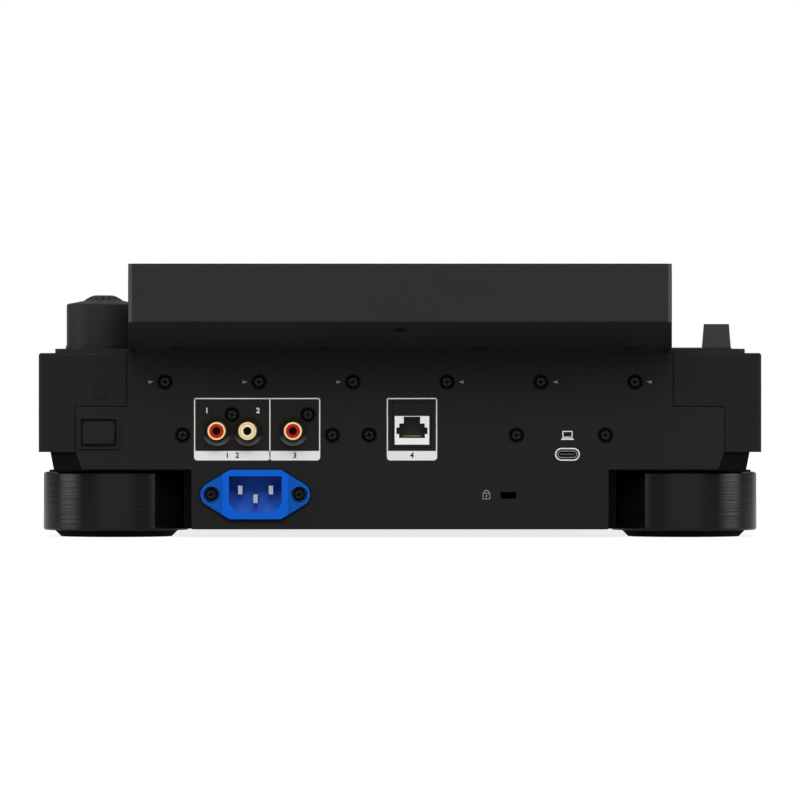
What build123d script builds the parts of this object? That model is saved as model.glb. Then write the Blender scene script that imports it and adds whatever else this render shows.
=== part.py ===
from build123d import *
from math import atan2, cos, degrees, pi, radians, sin, tan
import os

# A tabletop disc player for DJs, every piece a solid of its own, in millimetres.
# +Z is up. The player's front faces -Y and its rear panel faces +Y. X = 0 is its middle plane,
# and the origin is on the table under the middle of the machine's box.

os.makedirs("parts", exist_ok=True)

# ---------------------------------------------------------------- overall sizes
body_width = 329.0
body_depth = 453.0
body_height = 123.7

# Heights of what is stacked between the table and the deck.
pad_height = 3.0
foot_height = 26.7
foot_seat_height = 0.9
neck_height = 8.3
case_height = 45.1
deck_thickness = 2.0

# Clearances.
seam_gap = 0.3
key_gap = 0.4
running_gap = 0.05
screw_gap = 0.1

front_y = -body_depth / 2
rear_y = body_depth / 2
foot_top = pad_height + foot_height
shelf_z = foot_top + foot_seat_height
case_z = shelf_z + neck_height
case_top = case_z + case_height
deck_top = case_top + deck_thickness

# ---------------------------------------------------------------- display housing
display_overhang = 48.0
display_width = body_width - 85.5
display_front_width = display_width - 11.1
display_rear_height = 26.1
display_front_height = 4.0
display_ridge = 6.0
display_edge = 1.7
display_wall = 2.6
display_ledge = 1.2
glass_width = display_front_width - 6.4
glass_thickness = 1.6
lcd_width = glass_width - 12.0
lcd_thickness = 3.6
lcd_ledge_gap = 0.5

# ---------------------------------------------------------------- bottom chassis
sheet = 1.6
tub_width = body_width - 139.2
tub_floor_z = 3.7
neck_low_width = body_width - 13.8
neck_top_width = body_width - 10.6
neck_setback = 7.0
rear_window_width = body_width - 43.0

# ---------------------------------------------------------------- top case and deck
case_wall = 2.4
case_roof = 2.4
case_flange = 2.0
case_flange_width = 9.5
case_rear_radius = 2.0
case_front_radius = 7.0
case_edge = 0.8
case_rim = 9.0
case_rear_rim = 8.5
deck_width = body_width - 14.0
deck_front_margin = 5.0
deck_rear_margin = 6.5
deck_corner = 5.0

# ---------------------------------------------------------------- rear panel
panel_thickness = 2.0
panel_top_width = body_width - 80.6
panel_wing_width = body_width - 33.8
panel_wing_z = 59.5
panel_foot_width = body_width - 39.4
panel_foot_gap = 0.4
panel_corner = 2.0

panel_y = rear_y - display_overhang
panel_inner_y = panel_y - panel_thickness

screw_head_radius = 3.0
screw_head_height = 1.2
screw_recess_radius = 3.65
screw_recess_depth = 1.0
screw_shank_radius = 1.5
screw_length = 8.0
top_screws = 6
top_screw_z = 70.8
top_screw_pitch = (panel_top_width - 34.6) / (top_screws - 1)
middle_screw_z = 46.6
jack_screw_z = 55.9
jack_recess_radius = 3.1

# ---------------------------------------------------------------- sockets on the rear panel
rca_z = 48.5
rca_left_x = body_width / 2 - 81.25
rca_pitch = 14.0
rca_digital_x = rca_left_x - 34.65
rca_sleeve_radius = 4.15
rca_sleeve_length = 9.0
rca_hole_radius = 1.8
rca_hole_depth = 12.0
rca_dish_radius = 6.6
rca_dish_depth = 3.0
rca_dish_bevel = 1.6
rca_dish_floor = 0.9
rca_collar = 0.2
rca_collar_gap = 0.15
rca_body_side = 7.5
rca_screw_wall = 3.0
rca_body_length = 17.0

lan_x = rca_digital_x - 54.05
lan_width = 15.7
lan_height = 13.0
lan_length = 21.0
lan_opening_width = 12.0
lan_opening_height = 7.2
lan_tab_width = 6.4
lan_tab_height = 2.9
lan_floor = 1.3
lan_depth = 15.0

usb_c_x = 88.3 - body_width / 2
usb_c_z = 37.9
usb_c_width = 8.94
usb_c_height = 3.26
usb_c_shell = 0.35
usb_c_length = 9.0
usb_c_tongue_width = 6.7
usb_c_tongue_height = 0.7

lock_x = 45.6 - tub_width / 2
lock_z = 19.2
lock_width = 7.0
lock_height = 3.0

inlet_x = tub_width / 2 - 29.1
inlet_z = 19.6
inlet_width = 50.0
inlet_height = 22.5
inlet_end_radius = 5.5
inlet_end_cut = 4.97
inlet_flat_width = 23.4
inlet_block_width = 30.0
inlet_flange = 2.4
inlet_end_drop = 0.5
inlet_screw_pitch = 40.0
inlet_mouth_width = 24.0
inlet_mouth_height = 16.6
inlet_mouth_chamfer = 4.0
inlet_mouth_depth = 17.0
inlet_wall = 1.2
inlet_pin_pitch = 14.0
inlet_pin_width = 2.0
inlet_pin_height = 4.0
inlet_pin_length = 11.5
inlet_pin_rise = 2.0
inlet_tab_length = 8.0

power_x = body_width / 2 - 27.5
power_z = 47.7
power_width = 14.4
power_height = 10.6
power_button_gap = 1.0
power_frame_width = 18.7
power_frame_height = 14.9
power_frame_proud = 0.9
power_proud = 1.6
power_lip = 1.0
power_lip_thickness = 1.4
power_travel = 2.5
power_stem_radius = 2.5
power_stem_length = 4.0
power_switch_width = 21.2
power_switch_height = 9.0
power_switch_length = 12.0
power_ear = 1.6

top_screw_x = [(place - (top_screws - 1) / 2) * top_screw_pitch for place in range(top_screws)]
middle_screw_x = (rca_left_x + 15.65, rca_digital_x - 17.8, lan_x + 19.45, usb_c_x + 23.2, usb_c_x - 17.3)
jack_screw_x = (rca_left_x - 6.85, rca_digital_x - 6.7)

# ---------------------------------------------------------------- feet
foot_radius = 33.6
foot_edge = 0.7
foot_x = body_width / 2 - 34.0
foot_rear_setback = 36.0
foot_front_setback = 42.5
foot_seat_radius = 26.0
foot_bore_radius = 5.0
foot_web = 8.0
foot_screw_radius = 2.0
foot_screw_head_radius = 4.2
foot_screw_head_height = 3.0
foot_boss_radius = 5.0
foot_boss_height = 6.0
pad_radius = 25.5
pad_top_radius = 28.5
pad_hole_radius = 7.0
pad_recess = 1.2

# ---------------------------------------------------------------- boards and supply inside
board_thickness = 1.6
main_board_width = body_width - 121.0
main_board_length = 132.0
main_board_margin = 4.5
main_board_z = usb_c_z + usb_c_height / 2 + 1.17
post_radius = 3.5
post_inset = 5.5
supply_width = 56.0
supply_length = 84.0
supply_x = tub_width / 2 - supply_width / 2 - 4.9
supply_margin = 38.0
supply_rise = 4.0
transformer_width = 26.0
transformer_length = 30.0
transformer_height = 20.0
transformer_inset = 10.0
capacitor_radius = 8.0
capacitor_height = 22.0
capacitor_pitch = 22.0
capacitor_inset = 14.0

# ---------------------------------------------------------------- jog wheel
jog_y = front_y + 140.5
jog_radius = body_width / 2 - 61.5
jog_gap = 1.0
jog_top_z = 95.0
jog_bevel_width = 6.5
jog_bevel_height = 5.5
jog_skirt_z = 79.0
jog_rim_width = 11.0
jog_ring_width = 8.0
jog_plate_radius = jog_radius - jog_ring_width
jog_plate_recess = 3.0
jog_plate_thickness = 2.2
jog_plate_ledge = 7.0
jog_web_z = 82.0
jog_web_thickness = 2.5
jog_post_radius = 22.0
jog_post_wall = 4.0
jog_thrust_gap = 0.3
jog_hub_z = 76.5
jog_hub_top = 88.0
jog_collar_width = 4.0
jog_dimples = 36
jog_dimple_radius = 6.5
jog_dimple_depth = 1.6
jog_display_radius = 28.0
jog_display_z = 89.0
jog_display_height = 5.2
bracket_z = 72.0
bracket_thickness = 2.5
bracket_radius = jog_radius + 6.5
bracket_post_radius = 2.2
bracket_window_radius = 14.0
bracket_windows = 8
bracket_posts = 6
bracket_post_angle = 15.0
surround_width = 4.5
surround_height = 2.6

gear_module = 1.0
jog_teeth = 60
encoder_teeth = 15
gear_backlash = 0.12
gear_width = 5.0
encoder_post_radius = 2.0
encoder_hub_radius = 4.0
encoder_hub_height = 1.2

# ---------------------------------------------------------------- keys and knobs on the deck
key_corner = 1.2
key_lip = 1.0
key_lip_thickness = 1.5
key_height = 2.4
loop_key_height = 0.9
key_edge = 0.5
key_travel = 1.0
key_stem_radius = 2.0
switch_size = 6.0
switch_height = 3.4
switch_play = 0.2
control_board_z = 75.0
control_boss_radius = 2.8
control_boss_inset = 3.5

hot_cues = 8
hot_cue_pitch = (2 * jog_radius - 2.0) / hot_cues
hot_cue_width = hot_cue_pitch - 4.5
hot_cue_depth = 14.0
hot_cue_y = jog_y + jog_radius + 33.0
loop_x = 31.5 - body_width / 2
loop_width = 14.0
loop_depth = 12.0
loop_rear_y = panel_y - 56.5
loop_pitch = 19.0
column_x = body_width / 2 - 29.5
pair_pitch = 19.0
pair_width = 16.0
pair_depth = 10.5
search_y = front_y + 134.5
track_y = front_y + 114.5
side_key_width = 15.0
side_key_depth = 9.0
master_tempo_y = front_y + 147.5
eject_y = panel_y - 126.5
back_y = panel_y - 80.5

keys = {}
for number in range(hot_cues):
    cue_x = (number - (hot_cues - 1) / 2) * hot_cue_pitch
    keys[f"hot_cue_{number + 1}"] = (cue_x, hot_cue_y, hot_cue_width, hot_cue_depth)
key_heights = {}
for number, name in enumerate(("loop_in_button", "loop_out_button", "reloop_button")):
    keys[name] = (loop_x, loop_rear_y - number * loop_pitch, loop_width, loop_depth)
    key_heights[name] = loop_key_height
for row, row_y in (("search", search_y), ("track", track_y)):
    keys[f"{row}_back_button"] = (-column_x - pair_pitch / 2, row_y, pair_width, pair_depth)
    keys[f"{row}_forward_button"] = (-column_x + pair_pitch / 2, row_y, pair_width, pair_depth)
for name, key_y in (("master_tempo", master_tempo_y), ("eject", eject_y), ("back", back_y)):
    keys[f"{name}_button"] = (column_x, key_y, side_key_width, side_key_depth)

round_x = -column_x
round_radius = 17.0
round_height = 2.4
round_ring = 3.0
round_dish = 0.8
round_lip = 1.4
round_buttons = {"play_button": front_y + 36.5, "cue_button": front_y + 78.5}

# Control boards under the deck: the middle of each and its size.
board_width = 36.0
board_length = 64.0
play_board_width = 39.0
play_board_length = 137.0
play_board_y = front_y + 82.5
loop_board_y = panel_y - 75.5
cue_board_margin = 6.0
cue_board_length = 20.0
adjust_board_y = front_y + 166.5
back_board_y = panel_y - 103.5
back_board_length = 68.0
control_boards = [
    (-column_x, play_board_y, play_board_width, play_board_length),
    (-column_x, loop_board_y, board_width, board_length),
    (0.0, hot_cue_y, hot_cues * hot_cue_pitch + 2 * cue_board_margin, cue_board_length),
    (column_x, adjust_board_y, board_width, board_length),
    (column_x, back_board_y, board_width, back_board_length),
]

fader_x = column_x
fader_y = front_y + 68.5
fader_travel = 45.0
fader_slot_width = 4.6
fader_stem_width = 3.8
fader_stem_length = 8.0
fader_unit_width = 17.0
fader_unit_depth = 13.0
fader_unit_wall = 2.2
fader_cap_width = 23.0
fader_cap_length = 13.0
fader_cap_height = 9.0
fader_cap_rise = 0.8
fader_groove = 1.2
fader_cap_taper = 8.0

selector_x = body_width / 2 - 27.9
selector_y = panel_y - 38.5
selector_radius = 17.0
selector_edge_z = 106.9
selector_edge = 0.6
selector_top_z = 108.3
selector_rise = 1.2
selector_crown_radius = 7.85
selector_crown_skirt = 1.2
selector_crown_height = 2.5
selector_crown_steps = ((0.0, 0.9), (2.2, 2.1), (3.7, 2.5))
selector_crown_grooves = 16
selector_groove_radius = 0.8
selector_cavity_radius = 13.0
selector_cavity_top = 101.0
selector_shaft_radius = 3.0
selector_shaft_top = 106.0
selector_travel = 1.0
selector_bush_radius = 4.6
selector_bush_height = 6.0
selector_body_width = 15.0
selector_body_height = 9.0

adjust_x = column_x
adjust_y = front_y + 186.5
adjust_radius = 9.0
adjust_height = 9.0
adjust_rise = 0.8
adjust_shaft_radius = 3.0
adjust_flats = 18
adjust_flat_depth = 0.5
adjust_stop_gap = 0.5

lever_x = 14.2 - body_width / 2
lever_y = panel_y - 133.5
lever_pivot_z = 79.4
lever_top_z = 98.7
lever_low_width = 13.6
lever_top_width = 11.8
lever_low_thickness = 5.6
lever_top_thickness = 4.2
lever_cap_z = 87.4
lever_stem_width = 6.0
lever_stem_thickness = 4.0
lever_hub_radius = 3.6
lever_pin_radius = 1.5
lever_swing = 15.0
lever_ear = 1.6

# ---------------------------------------------------------------- disc drive
slot_z = 52.4
slot_width = 128.0
slot_height = 5.0
bezel_width = 151.4
bezel_height = 14.4
bezel_lip = 2.5
bezel_lip_thickness = 1.5
bezel_flare = 1.0
drive_width = 144.0
drive_length = 144.0
drive_z = 42.0
drive_wall = 1.5
drive_height = 18.0
drive_front_gap = 0.6
drive_post_x = 62.0
drive_post_inset = 14.0
disc_gap = 0.4
spindle_setback = 74.0
spindle_radius = 14.0
spindle_thickness = 2.5
spindle_cone_radius = 7.4
spindle_cone_height = 1.5
spindle_shaft_radius = 1.5
motor_radius = 12.0
motor_height = 1.5
sled_width = 46.0
sled_length = 14.0
sled_height = 3.6
sled_start = 24.0
sled_travel = 32.0
sled_rod_radius = 1.5
sled_rod_pitch = 34.0
sled_lens_radius = 4.0
sled_lens_height = 0.8
rod_block = 6.0
rod_block_thickness = 2.0
roller_radius = 2.8
roller_setback = 12.0
roller_pin_radius = 1.2

# ---------------------------------------------------------------- places worked out from the sizes
case_length = panel_y - front_y
case_mid_y = (panel_y + front_y) / 2
tub_front_y = front_y + neck_setback
case_inner_front_y = front_y + case_wall
deck_length = case_length - deck_front_margin - deck_rear_margin
deck_mid_y = (front_y + deck_front_margin + panel_y - deck_rear_margin) / 2
deck_rear_y = panel_y - deck_rear_margin
foot_places = [
    (side * foot_x, y)
    for side in (-1, 1)
    for y in (panel_y - foot_rear_setback, front_y + foot_front_setback)
]
main_board_y = panel_inner_y - main_board_margin - main_board_length / 2
main_board_places = [
    (
        side * (main_board_width / 2 - post_inset),
        main_board_y + end * (main_board_length / 2 - post_inset),
    )
    for side in (-1, 1)
    for end in (-1, 1)
]
supply_y = panel_y - supply_margin - supply_length / 2
supply_places = [
    (
        supply_x + side * (supply_width / 2 - post_inset),
        supply_y + end * (supply_length / 2 - post_inset),
    )
    for side in (-1, 1)
    for end in (-1, 1)
]
drive_front_y = case_inner_front_y + bezel_lip_thickness + drive_front_gap
drive_y = drive_front_y + drive_length / 2
drive_places = [
    (side * drive_post_x, drive_y + end * (drive_length / 2 - drive_post_inset))
    for side in (-1, 1)
    for end in (-1, 1)
]
display_front_y = hot_cue_y + 25.0
glass_length = rear_y - display_front_y - 12.5
lcd_length = glass_length - 11.0
jack_places = [(rca_left_x, rca_z), (rca_left_x - rca_pitch, rca_z), (rca_digital_x, rca_z)]
sheet_screws = [(x, top_screw_z) for x in top_screw_x] + [(x, middle_screw_z) for x in middle_screw_x]
jack_screws = [(x, jack_screw_z) for x in jack_screw_x]
inlet_screws = [(inlet_x + side * inlet_screw_pitch / 2, inlet_z) for side in (-1, 1)]
inlet_end_y = panel_y + inlet_flange - inlet_end_drop
control_board_top = control_board_z + board_thickness


def at_y(y):
    """The upright plane at this Y, with X to its right and Z up. A positive extrusion runs to -Y."""
    return Plane.XZ.offset(-y)


def mirrored(points):
    """An outline of points on the +X side, closed by their mirror image."""
    return points + [(-x, z) for x, z in reversed(points)]


def gear_outline(teeth, module, root_drop=1.25, tip_rise=0.9):
    """Straight-flanked teeth around the origin, the first of them on the X axis."""
    pitch_radius = teeth * module / 2
    half = pi * module / 4 - gear_backlash / 2
    points = []
    for tooth in range(teeth):
        middle = 2 * pi * tooth / teeth
        for radius, width in (
            (pitch_radius - root_drop * module, -1.35 * half),
            (pitch_radius + tip_rise * module, -0.6 * half),
            (pitch_radius + tip_rise * module, 0.6 * half),
            (pitch_radius - root_drop * module, 1.35 * half),
        ):
            angle = middle + width / radius
            points.append((radius * cos(angle), radius * sin(angle)))
    return points


def on_board(x, y, board):
    """Whether a place on the deck lies over this control board."""
    board_x, board_y, width, length = board
    return abs(x - board_x) < width / 2 and abs(y - board_y) < length / 2


# ================================================================ bottom chassis
# A folded tub: its middle hangs between the feet, and its shelf carries them.
def tub_outline(inset, neck_inset):
    return mirrored(
        [
            (tub_width / 2 - inset, tub_floor_z + inset),
            (tub_width / 2 - inset, shelf_z + inset),
            (neck_low_width / 2 - neck_inset, shelf_z + inset),
            (neck_top_width / 2 - neck_inset, case_z),
        ]
    )


with BuildPart() as bottom_chassis:
    with BuildSketch(at_y(panel_inner_y)):
        Polygon(*tub_outline(0, 0))
    extrude(amount=panel_inner_y - tub_front_y)
    with BuildSketch(at_y(panel_inner_y - sheet)):
        Polygon(*tub_outline(sheet, sheet))
    extrude(amount=panel_inner_y - tub_front_y - 2 * sheet, mode=Mode.SUBTRACT)
    with BuildSketch(at_y(panel_inner_y)):
        Polygon(*tub_outline(sheet, (neck_top_width - rear_window_width) / 2))
    extrude(amount=sheet, mode=Mode.SUBTRACT)
    with Locations(*[(x, y, shelf_z + sheet) for x, y in foot_places]):
        Cylinder(foot_boss_radius, foot_boss_height, align=(Align.CENTER, Align.CENTER, Align.MIN))
    with Locations(*[(x, y, shelf_z) for x, y in foot_places]):
        Cylinder(
            foot_screw_radius + running_gap,
            sheet + foot_boss_height,
            align=(Align.CENTER, Align.CENTER, Align.MIN),
            mode=Mode.SUBTRACT,
        )
    with Locations(*[(x, y, shelf_z + sheet) for x, y in main_board_places]):
        Cylinder(
            post_radius,
            main_board_z - shelf_z - sheet,
            align=(Align.CENTER, Align.CENTER, Align.MIN),
        )
    with Locations(*[(x, y, tub_floor_z + sheet) for x, y in supply_places]):
        Cylinder(post_radius, supply_rise, align=(Align.CENTER, Align.CENTER, Align.MIN))
    with Locations(*[(x, y, tub_floor_z + sheet) for x, y in drive_places]):
        Cylinder(
            post_radius,
            drive_z - tub_floor_z - sheet,
            align=(Align.CENTER, Align.CENTER, Align.MIN),
        )
bottom_chassis.part.label = "bottom_chassis"
export_step(bottom_chassis.part, "parts/bottom_chassis.step")

# ================================================================ feet, pads and their screws
with BuildPart() as feet:
    with Locations(*[(x, y, pad_height) for x, y in foot_places]):
        Cylinder(foot_radius, foot_height, align=(Align.CENTER, Align.CENTER, Align.MIN))
    chamfer(feet.edges().filter_by(GeomType.CIRCLE), foot_edge)
    with Locations(*[(x, y, foot_top) for x, y in foot_places]):
        Cylinder(foot_seat_radius, foot_seat_height, align=(Align.CENTER, Align.CENTER, Align.MIN))
    with Locations(*[(x, y, pad_height) for x, y in foot_places]):
        Cylinder(
            pad_top_radius + seam_gap,
            pad_recess,
            align=(Align.CENTER, Align.CENTER, Align.MIN),
            mode=Mode.SUBTRACT,
        )
        Cylinder(
            foot_bore_radius,
            foot_height - foot_web,
            align=(Align.CENTER, Align.CENTER, Align.MIN),
            mode=Mode.SUBTRACT,
        )
        Cylinder(
            foot_screw_radius + screw_gap,
            foot_height + foot_seat_height,
            align=(Align.CENTER, Align.CENTER, Align.MIN),
            mode=Mode.SUBTRACT,
        )
feet.part.label = "feet"
export_step(feet.part, "parts/feet.step")

with BuildPart() as foot_pads:
    with Locations(*[(x, y, 0) for x, y in foot_places]):
        Cone(pad_radius, pad_top_radius, pad_height, align=(Align.CENTER, Align.CENTER, Align.MIN))
    with Locations(*[(x, y, pad_height) for x, y in foot_places]):
        Cylinder(pad_top_radius, pad_recess, align=(Align.CENTER, Align.CENTER, Align.MIN))
    with Locations(*[(x, y, 0) for x, y in foot_places]):
        Cylinder(
            pad_hole_radius,
            pad_height + pad_recess,
            align=(Align.CENTER, Align.CENTER, Align.MIN),
            mode=Mode.SUBTRACT,
        )
foot_pads.part.label = "foot_pads"
export_step(foot_pads.part, "parts/foot_pads.step")

with BuildPart() as foot_screws:
    with Locations(*[(x, y, foot_top - foot_web) for x, y in foot_places]):
        Cylinder(
            foot_screw_head_radius,
            foot_screw_head_height,
            align=(Align.CENTER, Align.CENTER, Align.MAX),
        )
        Cylinder(
            foot_screw_radius,
            foot_web + foot_seat_height + sheet + foot_boss_height - running_gap,
            align=(Align.CENTER, Align.CENTER, Align.MIN),
        )
foot_screws.part.label = "foot_screws"
export_step(foot_screws.part, "parts/foot_screws.step")

# ================================================================ top case
with BuildPart() as top_case:
    with BuildSketch(Plane.XY.offset(case_z)):
        with Locations((0, case_mid_y)):
            Rectangle(body_width, case_length)
    extrude(amount=case_height)
    fillet(top_case.edges().filter_by(Axis.Z).group_by(Axis.Y)[-1], case_rear_radius)
    fillet(top_case.edges().filter_by(Axis.Z).group_by(Axis.Y)[0], case_front_radius)
    chamfer(top_case.faces().sort_by(Axis.Z)[-1].edges(), case_edge)
    with BuildSketch(Plane.XY.offset(case_z + case_flange)):
        with Locations((0, case_mid_y)):
            Rectangle(body_width - 2 * case_wall, case_length - 2 * case_wall)
    extrude(amount=case_height - case_flange - case_roof, mode=Mode.SUBTRACT)
    with BuildSketch(Plane.XY.offset(case_z)):
        with Locations((0, front_y + case_flange_width)):
            Rectangle(
                body_width - 2 * case_flange_width,
                case_length - case_flange_width - case_wall,
                align=(Align.CENTER, Align.MIN),
            )
    extrude(amount=case_flange, mode=Mode.SUBTRACT)
    with BuildSketch(Plane.XY.offset(case_top - case_roof)):
        with Locations((0, front_y + case_rim)):
            Rectangle(
                body_width - 2 * case_rim,
                case_length - case_rim - case_rear_rim,
                align=(Align.CENTER, Align.MIN),
            )
    extrude(amount=case_roof, mode=Mode.SUBTRACT)
    # The notch for the rear panel.
    with BuildSketch(at_y(panel_y)):
        Polygon(
            *mirrored(
                [
                    (panel_wing_width / 2 + seam_gap, case_z),
                    (panel_wing_width / 2 + seam_gap, panel_wing_z + seam_gap),
                    (panel_top_width / 2 + seam_gap, panel_wing_z + seam_gap),
                    (panel_top_width / 2 + seam_gap, case_top),
                ]
            )
        )
    extrude(amount=case_wall + seam_gap, mode=Mode.SUBTRACT)
    with BuildSketch(at_y(case_inner_front_y)):
        with Locations((0, slot_z)):
            Rectangle(bezel_width + 2 * seam_gap, bezel_height + 2 * seam_gap)
    extrude(amount=case_wall, mode=Mode.SUBTRACT)
top_case.part.label = "top_case"
export_step(top_case.part, "parts/top_case.step")

# ================================================================ rear panel
with BuildPart() as rear_panel:
    with BuildSketch(at_y(panel_y)) as panel_outline:
        Polygon(
            *mirrored(
                [
                    (tub_width / 2, tub_floor_z),
                    (tub_width / 2, shelf_z + panel_foot_gap),
                    (panel_foot_width / 2, shelf_z + panel_foot_gap),
                    (panel_wing_width / 2, case_z),
                    (panel_wing_width / 2, panel_wing_z),
                    (panel_top_width / 2, panel_wing_z),
                    (panel_top_width / 2, case_top),
                ]
            )
        )
        fillet(panel_outline.vertices().group_by(Axis.Y)[0], panel_corner)
        with Locations(*jack_places):
            Circle(rca_dish_radius + rca_collar + rca_collar_gap, mode=Mode.SUBTRACT)
        with Locations((lan_x, main_board_z + board_thickness + lan_height / 2)):
            Rectangle(lan_width + 2 * seam_gap, lan_height + 2 * seam_gap, mode=Mode.SUBTRACT)
        with Locations((usb_c_x, usb_c_z)):
            SlotOverall(
                usb_c_width + 2 * seam_gap, usb_c_height + 2 * seam_gap, mode=Mode.SUBTRACT
            )
        with Locations((lock_x, lock_z)):
            Rectangle(lock_width, lock_height, mode=Mode.SUBTRACT)
        with Locations((inlet_x, inlet_z)):
            Rectangle(
                inlet_mouth_width + 2 * inlet_wall + 2 * seam_gap,
                inlet_mouth_height + 2 * inlet_wall + 2 * seam_gap,
                mode=Mode.SUBTRACT,
            )
        with Locations((power_x, power_z)):
            Rectangle(
                power_width + 2 * power_button_gap,
                power_height + 2 * power_button_gap,
                mode=Mode.SUBTRACT,
            )
    extrude(amount=panel_thickness)
    with BuildSketch(at_y(panel_y)):
        with Locations((power_x, power_z)):
            RectangleRounded(power_frame_width, power_frame_height, key_corner)
            Rectangle(
                power_width + 2 * power_button_gap,
                power_height + 2 * power_button_gap,
                mode=Mode.SUBTRACT,
            )
    extrude(amount=-power_frame_proud)
    with BuildSketch(at_y(panel_y)):
        with Locations(*sheet_screws):
            Circle(screw_recess_radius)
        with Locations(*jack_screws):
            Circle(jack_recess_radius)
    extrude(amount=screw_recess_depth, mode=Mode.SUBTRACT)
    with BuildSketch(at_y(panel_y)):
        with Locations(*(sheet_screws + jack_screws + inlet_screws)):
            Circle(screw_shank_radius + screw_gap)
    extrude(amount=panel_thickness, mode=Mode.SUBTRACT)
rear_panel.part.label = "rear_panel"
export_step(rear_panel.part, "parts/rear_panel.step")

# ================================================================ top deck
with BuildPart() as top_deck:
    with BuildSketch(Plane.XY.offset(case_top)):
        with Locations((0, deck_mid_y)):
            RectangleRounded(deck_width, deck_length, deck_corner)
        with Locations((0, jog_y)):
            Circle(jog_radius + jog_gap, mode=Mode.SUBTRACT)
        for x, y, width, depth in keys.values():
            with Locations((x, y)):
                RectangleRounded(
                    width + 2 * key_gap,
                    depth + 2 * key_gap,
                    key_corner + key_gap,
                    mode=Mode.SUBTRACT,
                )
        with Locations(*[(round_x, y) for y in round_buttons.values()]):
            Circle(round_radius + key_gap, mode=Mode.SUBTRACT)
        with Locations((fader_x, fader_y)):
            Rectangle(
                fader_slot_width,
                2 * fader_travel + fader_stem_length + 2 * key_gap,
                mode=Mode.SUBTRACT,
            )
        with Locations((selector_x, selector_y)):
            Circle(selector_bush_radius + seam_gap, mode=Mode.SUBTRACT)
        with Locations((adjust_x, adjust_y)):
            Circle(adjust_shaft_radius + running_gap, mode=Mode.SUBTRACT)
        with Locations((lever_x, lever_y)):
            Rectangle(
                lever_stem_width + 2 * key_gap,
                lever_stem_thickness
                + 2 * key_gap
                + 2 * (deck_top - lever_pivot_z) * sin(radians(lever_swing)),
                mode=Mode.SUBTRACT,
            )
    extrude(amount=deck_thickness)
    boss_places = [
        (x + side * (width / 2 - control_boss_inset), y + end * (length / 2 - control_boss_inset))
        for x, y, width, length in control_boards
        for side in (-1, 1)
        for end in (-1, 1)
    ]
    with Locations(*[(x, y, case_top) for x, y in boss_places]):
        Cylinder(
            control_boss_radius,
            case_top - control_board_top,
            align=(Align.CENTER, Align.CENTER, Align.MAX),
        )
top_deck.part.label = "top_deck"
export_step(top_deck.part, "parts/top_deck.step")

# ================================================================ control boards
with BuildPart() as boards:
    for board in control_boards:
        board_x, board_y, width, length = board
        with BuildSketch(Plane.XY.offset(control_board_z)):
            with Locations((board_x, board_y)):
                Rectangle(width, length)
        extrude(amount=board_thickness)
        switch_places = [(x, y) for x, y, _, _ in keys.values() if on_board(x, y, board)]
        switch_places += [
            (round_x, y) for y in round_buttons.values() if on_board(round_x, y, board)
        ]
        with BuildSketch(Plane.XY.offset(control_board_top)):
            with Locations(*switch_places):
                Rectangle(switch_size, switch_size)
        extrude(amount=switch_height)
boards.part.label = "control_boards"
export_step(boards.part, "parts/control_boards.step")

# ================================================================ keys
stem_end_z = control_board_top + switch_height + key_travel + switch_play
for name, (x, y, width, depth) in keys.items():
    with BuildPart() as key:
        with BuildSketch(Plane.XY.offset(case_top)):
            with Locations((x, y)):
                RectangleRounded(width, depth, key_corner)
        extrude(amount=deck_thickness + key_heights.get(name, key_height))
        chamfer(key.faces().sort_by(Axis.Z)[-1].edges(), key_edge)
        with BuildSketch(Plane.XY.offset(case_top)):
            with Locations((x, y)):
                RectangleRounded(width + 2 * key_lip, depth + 2 * key_lip, key_corner + key_lip)
        extrude(amount=-key_lip_thickness)
        with BuildSketch(Plane.XY.offset(stem_end_z)):
            with Locations((x, y)):
                Circle(key_stem_radius)
        extrude(amount=case_top - key_lip_thickness - stem_end_z)
    key.part.label = name
    export_step(key.part, f"parts/{name}.step")

# Play and cue: a dished cap inside a raised ring.
for name, y in round_buttons.items():
    with BuildPart() as button:
        with BuildSketch(at_y(y)):
            with BuildLine():
                Polyline(
                    (round_x, stem_end_z),
                    (round_x + key_stem_radius, stem_end_z),
                    (round_x + key_stem_radius, case_top - key_lip_thickness),
                    (round_x + round_radius + round_lip, case_top - key_lip_thickness),
                    (round_x + round_radius + round_lip, case_top),
                    (round_x + round_radius, case_top),
                    (round_x + round_radius, deck_top + round_height - key_edge),
                    (round_x + round_radius - key_edge, deck_top + round_height),
                    (round_x + round_radius - round_ring, deck_top + round_height),
                    (
                        round_x + round_radius - round_ring - round_dish,
                        deck_top + round_height - round_dish,
                    ),
                    (round_x, deck_top + round_height - round_dish),
                    close=True,
                )
            make_face()
        revolve(axis=Axis((round_x, y, 0), (0, 0, 1)))
    button.part.label = name
    export_step(button.part, f"parts/{name}.step")

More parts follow.
